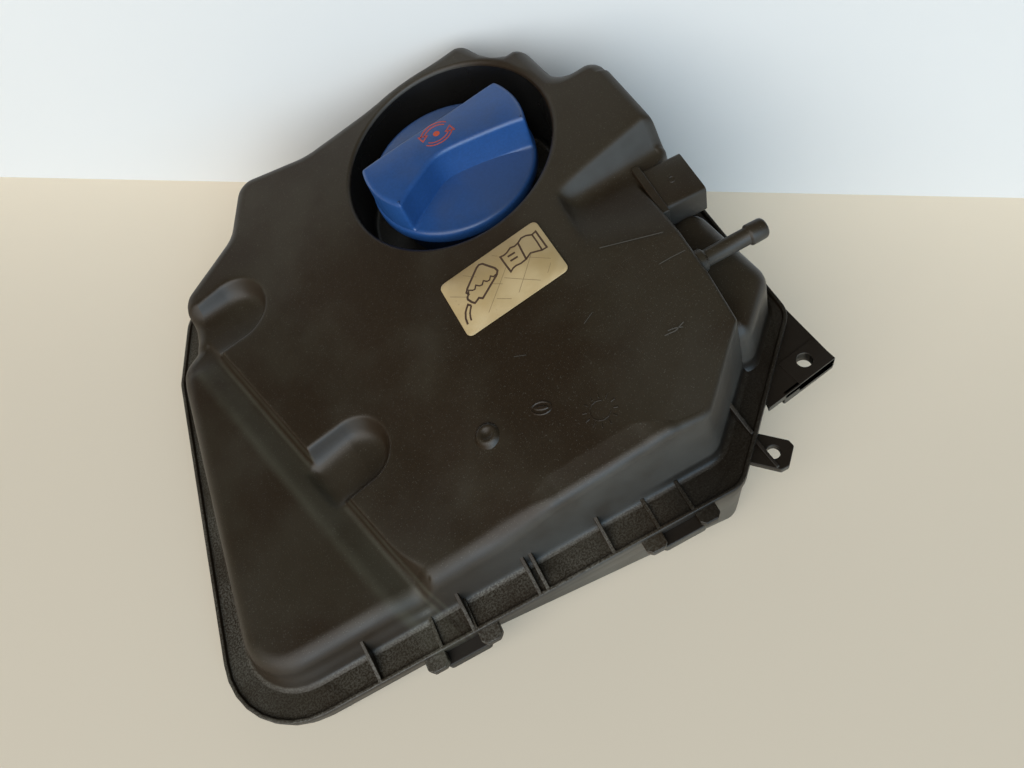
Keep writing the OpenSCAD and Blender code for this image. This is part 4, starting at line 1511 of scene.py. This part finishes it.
@dataclass
class VentNipple:
    """The small barbed hose nipple on the right wall."""

    root: tuple[float, float, float] = (37.0, -105.5, 13.0)
    turn: float = -9.0
    radius: float = 3.0
    bore: float = 1.8
    length: float = 24.0

    def build(self, plastic: Material) -> None:
        """Builds the nipple.

        Args:
            plastic: The upper shell's material.
        """
        r, end = self.radius, self.length
        profile = [
            (r + 1.1, -4.0),
            (r + 1.1, 0.9),
            (r + 0.8, 1.4),
            (r + 0.2, 1.6),
            (r, 2.2),
            (r, end - 6.8),
            (r + 0.1, end - 6.6),
            (r + 0.6, end - 6.1),
            (r + 0.7, end - 5.7),
            (r + 0.6, end - 1.2),
            (r + 0.4, end - 0.5),
            (r - 0.1, end),
            (self.bore + 0.2, end),
            (self.bore, end - 0.3),
            (self.bore, end - 9),
            (0.01, end - 9),
        ]
        rings = [lift(circle(a, 40), z) for a, z in profile]
        lie = turn_z(self.turn, self.root) @ spin(90, "Y")
        made = Skin().rings(rings).build("vent_nipple", lie)
        finish_piece(made, plastic, Body.TANK, Slot.UPPER, "upper_shell")


# The lower shell


@dataclass
class LowerShell:
    """The lower moulding: weld flange, sump, outlet spigot, bracket, tab and clip bars."""

    top_z: float = -23.0
    flange_z: float = -26.0
    wall: float = 3.0
    lean: float = 2.0
    corner: float = 6.0
    lip_inset: float = 0.6
    inset: float = 1.2
    depth: float = 61.0
    fall: float = math.tan(math.radians(13))
    outlet: tuple[float, float, float] = (10.0, 55.0, -46.0)
    bolt: tuple[float, float] = (51.5, -141.0)
    bolt_r: float = 2.8
    tab: tuple[float, float] = (16.5, -154.0)
    tab_r: float = 2.3
    tab_turn: float = 36.0
    bracket_z: float = -24.0

    def sump(self, x: Array, _: Array) -> Array:
        """Height of the sump's underside, the same at every y."""
        flat = self.flange_z - self.wall - 0.5
        edge = (-self.depth - flat) / self.fall
        return flat - self.fall * soft_ramp(x - edge, 6.0)

    def shell(self) -> Object:
        """The flange and the sump's outside."""
        lip = self.lip_inset
        steps = [(lip + 0.2, self.top_z), (lip, self.top_z - 0.2)]
        steps += [(lip, self.flange_z + 0.4), (lip + 0.4, self.flange_z)]
        rings = [lift(RIM.ring(d), z) for d, z in steps]
        d0, r = self.inset + self.lean, self.corner
        base = RIM.ring(d0 + r)
        under = self.sump(base[:, 0], base[:, 1])
        seam = self.flange_z - 0.6
        high = np.minimum(under + r, seam)
        for share in (0.0, 0.5, 1.0):
            ring = RIM.ring(self.inset + self.lean * share)
            rings.append(lift(ring, self.flange_z + (high - self.flange_z) * share))
        low_r = np.minimum(r, seam - under)
        for angle in np.linspace(0, math.pi / 2, 7)[1:]:
            ring = RIM.ring(d0 + r * (1 - math.cos(angle)))
            rings.append(lift(ring, under + low_r * (1 - math.sin(angle))))
        grid = scatter(self.sump, (-180, -170), (80, 90), base=8, levels=1, bend=0.02)
        near = distance_to(grid, base)
        kept = inside(grid, base) & (near > 2)
        skin = Skin().rings(rings, flip=True)
        skin.fill(base, self.sump, inner=grid[kept], down=True)
        skin.fill(RIM.ring(lip + 0.2), self.top_z)
        return skin.build("sump")

    def spigot(self) -> Object:
        """The outlet spigot on the far side."""
        profile = [(10, -8), (10, 26.8), (10.1, 27), (11.1, 28.6), (11.2, 29.2)]
        profile += [(10.4, 31), (9.6, 31.8), (9.2, 32)]
        profile += [(7.8, 32), (7.5, 31.6), (7.5, 4), (0.01, 4)]
        rings = [lift(circle(r, 64), z) for r, z in profile]
        lie = Matrix.Translation(Vector(self.outlet)) @ spin(-90, "X")
        return Skin().rings(rings).build("outlet_spigot", lie)

    def bracket(self) -> list[Object]:
        """The fixing bracket with its pad and turned-down lip."""
        x, y = self.bolt
        z = self.bracket_z
        hole = circle(self.bolt_r, 40, self.bolt)
        plate = [(30.5, y - 6), (x + 8, y - 6), (x + 11, -101), (45.5, -106)]
        pad = [(x - 7.5, y - 6), (x + 8, y - 6), (x + 8, y + 4.5), (x - 7.5, y + 4.5)]
        lip = [(x - 14, y - 6), (x + 8, y - 6), (x + 8, y - 4.2), (x - 14, y - 4.2)]
        return [
            prism(plate, z - 3, z, "bracket_plate", None, 0.5, [hole]),
            prism(pad, z - 5, z + 0.5, "bracket_pad", None, 0.5, [hole]),
            prism(lip, z - 7, z, "bracket_lip", None, 0.5),
        ]

    def small_tab(self) -> list[Object]:
        """The small tab with its hole and gusset."""
        plan = [(-5.5, 6), (-5.5, -11), (-3.5, -13), (4, -13), (5.5, -11), (5.5, 6)]
        hole = circle(self.tab_r, 32, (0, -7.15))
        place = turn_z(self.tab_turn, (*self.tab, 0))
        z = self.bracket_z
        gusset = upright(turn_z(0, (18.3, -153, 0)))
        side = [(-12, z - 0.3), (2, z - 0.3), (2, z + 3.2), (-1, z + 3.2), (-11.5, z + 0.6)]
        return [
            prism(plan, z - 3, z, "tab_plate", place, 0.5, [hole]),
            prism(side, -0.6, 0.6, "tab_gusset", gusset, 0.25),
        ]

    def clip_bars(self, upper: UpperShell) -> list[Object]:
        """The bars between the ears of the clips."""
        made = []
        for i, x in enumerate(upper.clip_stations):
            plan = [(-8, 1.5), (-8, -3.6), (-7.2, -4.4), (7.2, -4.4), (8, -3.6), (8, 1.5)]
            low, high = self.flange_z - 2, self.flange_z + 2.7
            made.append(prism(plan, low, high, f"clip_bar_{i}", upper.rim_place(x), 0.7))
        return made

    def build(self, upper: UpperShell) -> None:
        """Builds and dresses every piece of the lower shell.

        Args:
            upper: The upper shell, for the places of the clips.
        """
        plastic = LOWER_PLASTIC.material()
        pieces = [
            self.shell(),
            self.spigot(),
            joined("fixing_bracket", self.bracket()),
            joined("fixing_tab", self.small_tab()),
            joined("clip_bars", self.clip_bars(upper)),
        ]
        for piece in pieces:
            finish_piece(piece, plastic, Body.TANK, Slot.LOWER, "lower_shell")


# Label


@dataclass
class Label:
    """The cream label with a filling pictogram and a plain booklet outline."""

    centre: tuple[float, float] = (-16.0, -64.5)
    turn: float = -6.5
    length: float = 41.5
    width: float = 25.5
    thick: float = 0.3
    ground_z: float = 15.0
    gap: float = 0.05

    def place(self) -> Matrix:
        """The label's own frame: x along it, y across it, z out of the top."""
        x, y = self.centre
        z = self.ground_z + x * TOP.slope + self.gap
        return Matrix.Translation((x, y, z)) @ TOP.tilt() @ spin(self.turn, "Z")

    def film(self) -> Object:
        """The film with rounded corners."""
        a, b = self.length / 2, self.width / 2
        plan = Outline(((-a, -b, 2.2), (a, -b, 2.2), (a, b, 2.2), (-a, b, 2.2)), 6, 4.0)
        steps = [(0.0, 0.0), (0.0, self.thick - 0.08), (0.08, self.thick)]
        skin = Skin().rings([lift(plan.ring(d), z) for d, z in steps])
        skin.fill(plan.ring(0.08), self.thick)
        return skin.build("label_film", self.place())

    def stroke(
        self, line: Sequence[tuple[float, float]], width: float, name: str, closed: bool = False
    ) -> Object:
        """A printed line as a thin ribbon.

        Args:
            line: Its points in the label's frame.
            width: Its width.
            name: Name of the piece.
            closed: Joins its ends.

        Returns:
            The new object.
        """
        pts = np.array(line, float)
        ahead = np.roll(pts, -1, axis=0) - pts
        back = pts - np.roll(pts, 1, axis=0)
        if not closed:
            ahead[-1], back[0] = back[-1], ahead[0]
        ahead /= np.linalg.norm(ahead, axis=1)[:, None]
        back /= np.linalg.norm(back, axis=1)[:, None]
        along = ahead + back
        along /= np.linalg.norm(along, axis=1)[:, None]
        side = np.stack([-along[:, 1], along[:, 0]], axis=1)
        stretch = 1 / np.maximum(0.5, (ahead * along).sum(axis=1))
        offset = side * (width / 2 * stretch)[:, None]
        left, right = pts + offset, pts - offset
        z = self.thick + INK_RISE
        skin = Skin()
        first = skin.add(np.concatenate([lift(left, z), lift(right, z)]))
        n = len(pts)
        for i in range(n if closed else n - 1):
            j = (i + 1) % n
            skin.faces.append((first + i, first + n + i, first + n + j, first + j))
        return skin.build(name, self.place())

    def marks(self) -> list[Object]:
        """The printed outlines: a bottle that pours and a plain open booklet."""
        bottle = [(-13.4, 3.6), (-12.2, 5.0), (-5.8, 10.0), (-4.4, 10.6)]
        bottle += [(-3.2, 10.1), (-0.3, 5.4), (0.0, 3.8)]
        bottle += [(-1.0, 2.5), (-9.5, -2.4), (-10.6, -1.3), (-11.7, -1.8), (-12.7, -2.2), (-13.5, -1.1)]
        bottle += [(-14.2, 0.8), (-13.9, 1.8), (-13.0, 2.4)]
        wave = [(-13.0, 2.6), (-12.2, 3.9), (-11.1, 2.9), (-10.2, 2.7)]
        wave += [(-9.2, 4.0), (-8.2, 2.8), (-7.2, 2.5)]
        wave += [(-6.1, 3.7), (-5.1, 2.5), (-4.1, 2.4), (-3.1, 3.6), (-2.3, 2.6), (-1.2, 2.9)]
        stream = [(-14.3, -2.2), (-15.1, -1.0), (-16.4, -2.2), (-17.3, -3.3), (-18.3, -5.4), (-18.7, -7.9)]
        stream_in = [(-14.3, -2.2), (-15.3, -3.4), (-16.1, -4.6), (-16.7, -6.2), (-16.9, -7.4)]
        left_page = [(3.4, 8.0), (4.9, 7.7), (6.2, 7.9), (8.1, 8.8), (9.7, 8.3), (11.3, 8.6), (10.9, 4.9)]
        left_page += [(10.5, 0.8), (8.2, 0.6), (6.3, 1.0), (5.0, 0.8), (3.7, 0.1), (3.5, 4.1)]
        right_page = [(11.3, 8.6), (13.2, 9.6), (15.0, 9.3), (17.0, 8.1)]
        right_page += [(18.7, 8.4), (18.7, 4.3), (18.7, 0.0)]
        right_page += [(16.8, 0.1), (15.4, 0.8), (12.9, 1.9), (10.5, 0.8)]
        spine = [(17.0, 8.1), (17.0, 3.9), (16.8, 0.1)]
        specs = [
            (bottle, 0.8, True),
            (wave, 0.55, False),
            (stream, 0.75, False),
            (stream_in, 0.65, False),
            (left_page, 0.7, True),
            (right_page, 0.7, False),
            (spine, 0.6, False),
            ([(5.6, 6.2), (8.6, 6.0)], 0.8, False),
            ([(5.6, 4.0), (8.6, 3.8)], 0.8, False),
        ]
        return [self.stroke(line, w, f"mark_{i}", shut) for i, (line, w, shut) in enumerate(specs)]

    def cuts(self) -> list[Object]:
        """The crossing safety cuts, as fine ribbons."""
        lines = [
            [(13.6, 2.1), (8.2, -3.2), (2.0, -9.1)],
            [(3.0, 2.8), (-3.3, -2.7), (-10.4, -8.8)],
            [(0.6, -0.4), (5.4, -5.1), (10.5, -10.0)],
            [(-19.2, 6.2), (-13.8, 1.7)],
            [(-5.5, -5.9), (-1.2, -9.5)],
            [(11.4, 1.1), (17.6, -4.9)],
            [(-11.3, 10.7), (-7.5, 6.8)],
            [(16.7, -6.4), (13.9, -9.1)],
            [(1.2, 10.6), (2.8, 9.0)],
            [(-4.0, 0.4), (-1.0, -2.2)],
        ]
        return [self.stroke(line, 0.16, f"cut_{i}") for i, line in enumerate(lines)]

    def build(self) -> None:
        """Builds and dresses the label."""
        film = LabelFilm()
        finish_piece(self.film(), film.material(), Body.TANK, Slot.LABEL, "label")
        ink = LABEL_INK.material()
        finish_piece(joined("label_marks", self.marks()), ink, Body.TANK, Slot.LABEL, "label")
        shade = Plain("label_cut", film.cut, 0.6).material()
        finish_piece(joined("label_cuts", self.cuts()), shade, Body.TANK, Slot.LABEL, "label")


# Cap and valves


@dataclass
class Cap:
    """The screw cap: disc, skirt and waisted grip bar."""

    radius: float = 34.0
    rise: float = 7.0
    grip: float = 14.5
    wall: float = 2.8
    skirt_low: float = -13.0
    skirt_bore: float = 25.9
    edge: float = 1.9
    foot: float = 1.6
    mark_at: tuple[float, float] = (0.2, 3.4)

    def grip_plan(self) -> Array:
        """Outline of the grip bar, anticlockwise and dense."""
        r = self.radius - 0.5
        far = [(-31.3, 11.4), (-24.0, 11.6), (-12.0, 11.4), (0.0, 11.0)]
        far += [(12.0, 10.6), (24.0, 10.6), (31.6, 10.4)]
        near = [(28.9, -16.6), (24.0, -14.4), (16.0, -11.7), (8.0, -9.3)]
        near += [(0.0, -7.2), (-4.5, -6.6), (-8.0, -7.0)]
        near += [(-12.0, -8.6), (-17.0, -11.0), (-22.5, -13.5), (-28.4, -17.2)]
        right = self.arc(r, self.bearing(near[0]), self.bearing(far[-1]))
        left = self.arc(r, self.bearing(far[0]), 360 + self.bearing(near[-1]))
        sides = [self.curve(near[::-1]), right, self.curve(far[::-1]), left]
        return self.even(np.concatenate([side[:-1] for side in sides]), 200)

    @staticmethod
    def bearing(point: tuple[float, float]) -> float:
        """Direction of a point from the cap's axis, in degrees."""
        return math.degrees(math.atan2(point[1], point[0]))

    @staticmethod
    def arc(radius: float, start: float, end: float) -> Array:
        """Points of an arc between two angles in degrees."""
        angles = np.radians(np.linspace(start, end, 24))
        return radius * np.stack([np.cos(angles), np.sin(angles)], axis=1)

    @staticmethod
    def curve(line: Sequence[tuple[float, float]]) -> Array:
        """A smooth curve through a few points."""
        pts = np.array(line, float)
        ext = np.vstack([2 * pts[0] - pts[1], pts, 2 * pts[-1] - pts[-2]])
        out = []
        for p0, p1, p2, p3 in zip(ext, ext[1:], ext[2:], ext[3:]):
            for t in np.linspace(0, 1, 8, endpoint=False):
                bend = 2 * p0 - 5 * p1 + 4 * p2 - p3
                twist = 3 * p1 - p0 - 3 * p2 + p3
                out.append(0.5 * (2 * p1 + (p2 - p0) * t + bend * t**2 + twist * t**3))
        out.append(pts[-1])
        return np.array(out)

    @staticmethod
    def even(loop: Array, count: int) -> Array:
        """The same loop in equal steps, with its corners softened."""
        closed = np.vstack([loop, loop[:1]])
        walk = np.concatenate([[0], np.cumsum(np.linalg.norm(np.diff(closed, axis=0), axis=1))])
        at = np.linspace(0, walk[-1], count, endpoint=False)
        out = np.stack([np.interp(at, walk, closed[:, k]) for k in (0, 1)], axis=1)
        for _ in range(2):
            out = 0.5 * out + 0.25 * (np.roll(out, 1, axis=0) + np.roll(out, -1, axis=0))
        return out

    @staticmethod
    def shrink(loop: Array, inset: float) -> Array:
        """The loop moved inwards."""
        along = np.roll(loop, -1, axis=0) - np.roll(loop, 1, axis=0)
        along /= np.linalg.norm(along, axis=1)[:, None]
        return loop + inset * np.stack([-along[:, 1], along[:, 0]], axis=1)

    def body(self) -> Object:
        """The cap as one skin."""
        r, top, e = self.radius, self.rise, self.edge
        skin = Skin()
        plan = self.grip_plan()
        high = top + self.grip
        rings = []
        foot = self.foot
        for angle in np.linspace(0, math.pi / 2, 5):
            ring = self.shrink(plan, -foot * (1 - math.sin(angle)))
            reach = np.linalg.norm(ring, axis=1)
            ring = ring * np.minimum(1, (r - 0.7) / reach)[:, None]
            rings.append(lift(ring, top + 0.05 + foot * (1 - math.cos(angle))))
        for angle in np.linspace(0, math.pi / 2, 6):
            ring = self.shrink(plan, 0.5 + e * (1 - math.cos(angle)))
            rings.append(lift(ring, high - e * (1 - math.sin(angle))))
        skin.rings(rings)
        skin.fill(rings[-1][:, :2], high)
        edge_steps = [(e * (1 - math.sin(a)), e * (1 - math.cos(a))) for a in np.linspace(0, math.pi / 2, 6)]
        profile = [(0.01, top + 1.5), (12, top + 1.35), (22, top + 0.8)]
        profile += [(r - 6, top + 0.25), (r - 3, top + 0.02)]
        profile += [(r - d, top - z) for d, z in edge_steps]
        profile += [(r, 2.2), (r - 0.2, 1.7), (r - 0.6, 1.4)]
        profile += [(r - self.wall + 0.4, 1.4), (r - self.wall, 1.8)]
        outer = self.skirt_bore + self.wall
        profile += [(r - self.wall, top - self.wall), (outer, top - self.wall)]
        profile += [(outer, self.skirt_low + 0.4)]
        profile += [(outer - 0.4, self.skirt_low), (self.skirt_bore + 0.4, self.skirt_low)]
        profile += [(self.skirt_bore, self.skirt_low + 0.4), (self.skirt_bore, top - self.wall)]
        profile += [(0.01, top - self.wall)]
        skin.turned(profile, 128)
        return skin.build("cap_body")

    def ink(self) -> Object:
        """The red turning mark on the grip: two bent arrows round a dot."""
        place = Matrix.Translation((*self.mark_at, self.rise + self.grip + 0.04))
        pen = Label(centre=(0, 0))
        made = []
        for flip in (1, -1):
            angles = np.radians(np.linspace(25, 150, 14) + (0 if flip == 1 else 180))
            for width, height in ((6.6, 5.4), (5.2, 4.0)):
                line = np.stack([width * np.cos(angles), height * np.sin(angles)], axis=1)
                made.append(pen.stroke(line.tolist(), 0.5, f"arrow_{flip}_{width}"))
            tip = 5.9 * np.cos(angles[-1]), 4.7 * np.sin(angles[-1])
            head = [(tip[0] - 1.2 * flip, tip[1] + 1.2 * flip), (tip[0] - 0.9 * flip, tip[1] - 2.0 * flip)]
            head.append((tip[0] + 1.9 * flip, tip[1] - 0.5 * flip))
            made.append(pen.stroke(head, 0.5, f"head_{flip}", True))
        around = np.linspace(0, 2 * math.pi, 14, endpoint=False)
        dot = [(0.8 * math.cos(a), 0.8 * math.sin(a)) for a in around]
        made.append(pen.stroke(dot, 1.1, "dot", True))
        whole = joined("cap_mark", made)
        whole.data.transform(Matrix.Scale(1 / MM, 4))
        whole.data.transform(pen.place().inverted())
        whole.data.transform(Matrix.Translation((0, 0, -pen.thick - INK_RISE)))
        whole.data.transform(place)
        whole.data.transform(Matrix.Scale(MM, 4))
        return whole

    def build(self) -> None:
        """Builds and dresses the cap."""
        finish_piece(self.body(), CAP_PLASTIC.material(), Body.CAP, Slot.CAP, "cap_handle")
        finish_piece(self.ink(), CAP_INK.material(), Body.CAP, Slot.CAP, "cap_handle")


@dataclass
class Valves:
    """The valve insert under the cap and the sensor's pins: exact solids that only need their finish."""

    finishes: dict[str, object] = field(
        default_factory=lambda: {
            "valve_body": VALVE_PLASTIC,
            "spring_retainer": VALVE_PLASTIC,
            "neck_gasket": RUBBER,
            "valve_body_o_ring": RUBBER,
            "pressure_seal": RUBBER,
            "vacuum_seal": RUBBER,
            "pressure_spring": STEEL,
            "vacuum_spring": STEEL,
            "spring_keeper": STEEL,
            "pressure_plate": BRASS,
            "vacuum_stem": BRASS,
            "level_pin_long": PIN_METAL,
            "level_pin_short": PIN_METAL,
        }
    )

    def dress(self, solids: dict[str, Object]) -> None:
        """Gives each solid its material.

        Args:
            solids: The CAD nodes by name.
        """
        made: dict[str, Material] = {}
        for name, finish in self.finishes.items():
            if finish.name not in made:
                made[finish.name] = finish.material()
            solids[name].data.materials.clear()
            solids[name].data.materials.append(made[finish.name])
            LOG.info("%s keeps its solid, finish %s", name, finish.name)


# Stage


@dataclass
class Stage:
    """Table, wall, light and camera.

    Attributes:
        camera_at: The camera's place, in millimetres.
        ahead: Its view direction.
        upwards: Its upward direction.
        focal_px: Its focal length, in pixels of the photograph.
        image: The photograph's size, in pixels.
        table_at: A point on the table, in millimetres.
        table_slope: The table's rise along x and y.
        table_tone: Its colour.
        wall_tone: Colour of the wall behind.
        far_edge: Image row of the table's far edge at the left and right of the image.
        table_w: Half of the table's width, and its length, in millimetres.
        wall_h: Height of the wall, in millimetres.
        sensor: Width of the camera's sensor, in millimetres.
        lamps_aim: The point that the lamps face, in metres.
        world_light: Light of the world on the part.
        world_seen: Colour of the world as the camera sees it.
    """

    camera_at: tuple[float, float, float] = (-57.5, -230.9, 235.5)
    ahead: tuple[float, float, float] = (0.081, 0.502, -0.861)
    upwards: tuple[float, float, float] = (0.586, 0.674, 0.449)
    focal_px: float = 800.0
    image: tuple[int, int] = (1024, 768)
    table_at: tuple[float, float, float] = (-165.0, -135.0, -26.4)
    table_slope: tuple[float, float] = (-0.2195, 0.0)
    table_tone: tuple[float, float, float] = (0.76, 0.66, 0.52)
    wall_tone: tuple[float, float, float] = (0.62, 0.62, 0.61)
    far_edge: tuple[float, float] = (177.0, 198.0)
    table_w: float = 2600.0
    wall_h: float = 150.0
    sensor: float = 36.0
    lamps_aim: tuple[float, float, float] = (-0.04, -0.05, 0.0)
    world_light: tuple[float, float, float, float] = (0.08, 0.072, 0.058, 1)
    world_seen: tuple[float, float, float, float] = (0.8, 0.82, 0.83, 1)

    def axes(self) -> tuple[Vector, Vector, Vector]:
        """The camera's right, up and forward directions."""
        ahead = Vector(self.ahead).normalized()
        right = ahead.cross(Vector(self.upwards)).normalized()
        return right, right.cross(ahead), ahead

    def ray(self, u: float, v: float) -> Vector:
        """Direction through a point of the image, in its 1024 by 768 pixels."""
        right, up, ahead = self.axes()
        x = (u - self.image[0] / 2) / self.focal_px
        y = (self.image[1] / 2 - v) / self.focal_px
        return ahead + right * x + up * y

    def table_normal(self) -> Vector:
        """The table's upward direction."""
        return Vector((-self.table_slope[0], -self.table_slope[1], 1)).normalized()

    def on_table(self, u: float, v: float) -> Vector:
        """The table's point seen at an image point, in millimetres."""
        eye, normal, way = Vector(self.camera_at), self.table_normal(), self.ray(u, v)
        return eye + way * ((Vector(self.table_at) - eye).dot(normal) / way.dot(normal))

    def camera(self) -> None:
        """Makes the camera at the photograph's place."""
        data = bpy.data.cameras.new("camera")
        data.sensor_width = self.sensor
        data.lens = self.sensor * self.focal_px / self.image[0]
        data.clip_start, data.clip_end = 0.01, 20
        made = bpy.data.objects.new("camera", data)
        right, up, ahead = self.axes()
        turn = Matrix((right, up, -ahead)).transposed().to_4x4()
        made.matrix_world = Matrix.Translation(Vector(self.camera_at) * MM) @ turn
        bpy.context.scene.collection.objects.link(made)
        bpy.context.scene.camera = made

    def sheet(self, name: str, corners: Sequence[Vector], tone: tuple[float, float, float]) -> None:
        """A pale stage surface.

        Args:
            name: Its name.
            corners: Its four corners, anticlockwise from the front, in millimetres.
            tone: Its colour.
        """
        mesh = bpy.data.meshes.new(name)
        mesh.from_pydata([tuple(c * MM) for c in corners], [], [tuple(range(len(corners)))])
        mesh.materials.append(Backdrop(name, tone).material())
        made = bpy.data.objects.new(name, mesh)
        bpy.context.scene.collection.objects.link(made)

    def surfaces(self) -> None:
        """The table and the wall behind it."""
        normal = self.table_normal()
        left = self.on_table(0, self.far_edge[0])
        right = self.on_table(self.image[0], self.far_edge[1])
        along = (right - left).normalized()
        away = normal.cross(along).normalized()
        middle = (left + right) / 2
        a, b = middle - along * self.table_w, middle + along * self.table_w
        near, up = away * self.table_w, normal * self.wall_h
        self.sheet("table", [a - near, b - near, b, a], self.table_tone)
        self.sheet("backdrop", [a, b, b + up, a + up], self.wall_tone)

    def lamp(self, name: str, at: Sequence[float], size: float, power: float, tint: Sequence[float]) -> None:
        """A large soft lamp aimed at the tank.

        Args:
            name: Its name.
            at: Its place, in metres.
            size: Its width, in metres.
            power: Its power, in watts.
            tint: Its colour.
        """
        data = bpy.data.lights.new(name, "AREA")
        data.shape = "DISK"
        data.size, data.energy, data.color = size, power, tuple(tint)
        made = bpy.data.objects.new(name, data)
        made.location = Vector(at)
        made.rotation_mode = "QUATERNION"
        made.rotation_quaternion = (Vector(self.lamps_aim) - Vector(at)).to_track_quat("-Z", "Y")
        bpy.context.scene.collection.objects.link(made)

    def light(self) -> None:
        """Soft lamps and an even world."""
        self.lamp("window", (-0.3, -2.1, 0.95), 2.2, 30, (0.42, 0.72, 1.0))
        self.lamp("skylight", (-1.43, -1.45, 1.65), 3.5, 98, (1.0, 0.99, 0.965))
        world = bpy.data.worlds.new("world")
        bpy.context.scene.world = world
        world.use_nodes = True
        tree = world.node_tree
        back = tree.nodes["Background"]
        back.inputs["Strength"].default_value = 1.0
        seen = tree.nodes.new("ShaderNodeLightPath")
        mix = tree.nodes.new("ShaderNodeMix")
        mix.data_type = "RGBA"
        mix.inputs[6].default_value = self.world_light
        mix.inputs[7].default_value = self.world_seen
        tree.links.new(seen.outputs["Is Camera Ray"], mix.inputs["Factor"])
        tree.links.new(mix.outputs[2], back.inputs["Color"])

    def build(self) -> None:
        """Sets up the whole stage."""
        self.camera()
        self.surfaces()
        self.light()
        bpy.context.scene.view_settings.view_transform = "Standard"


def main() -> None:
    """Builds the tank's looks around its frame."""
    logging.basicConfig(level=logging.INFO, format="%(message)s")
    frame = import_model()
    Stage().build()
    upper = UpperShell()
    upper.build()
    SensorSocket().build(upper.material)
    VentNipple().build(upper.material)
    LowerShell().build(upper)
    Label().build()
    Cap().build()
    Valves().dress(frame["nodes"])


if __name__ == "__main__":
    main()
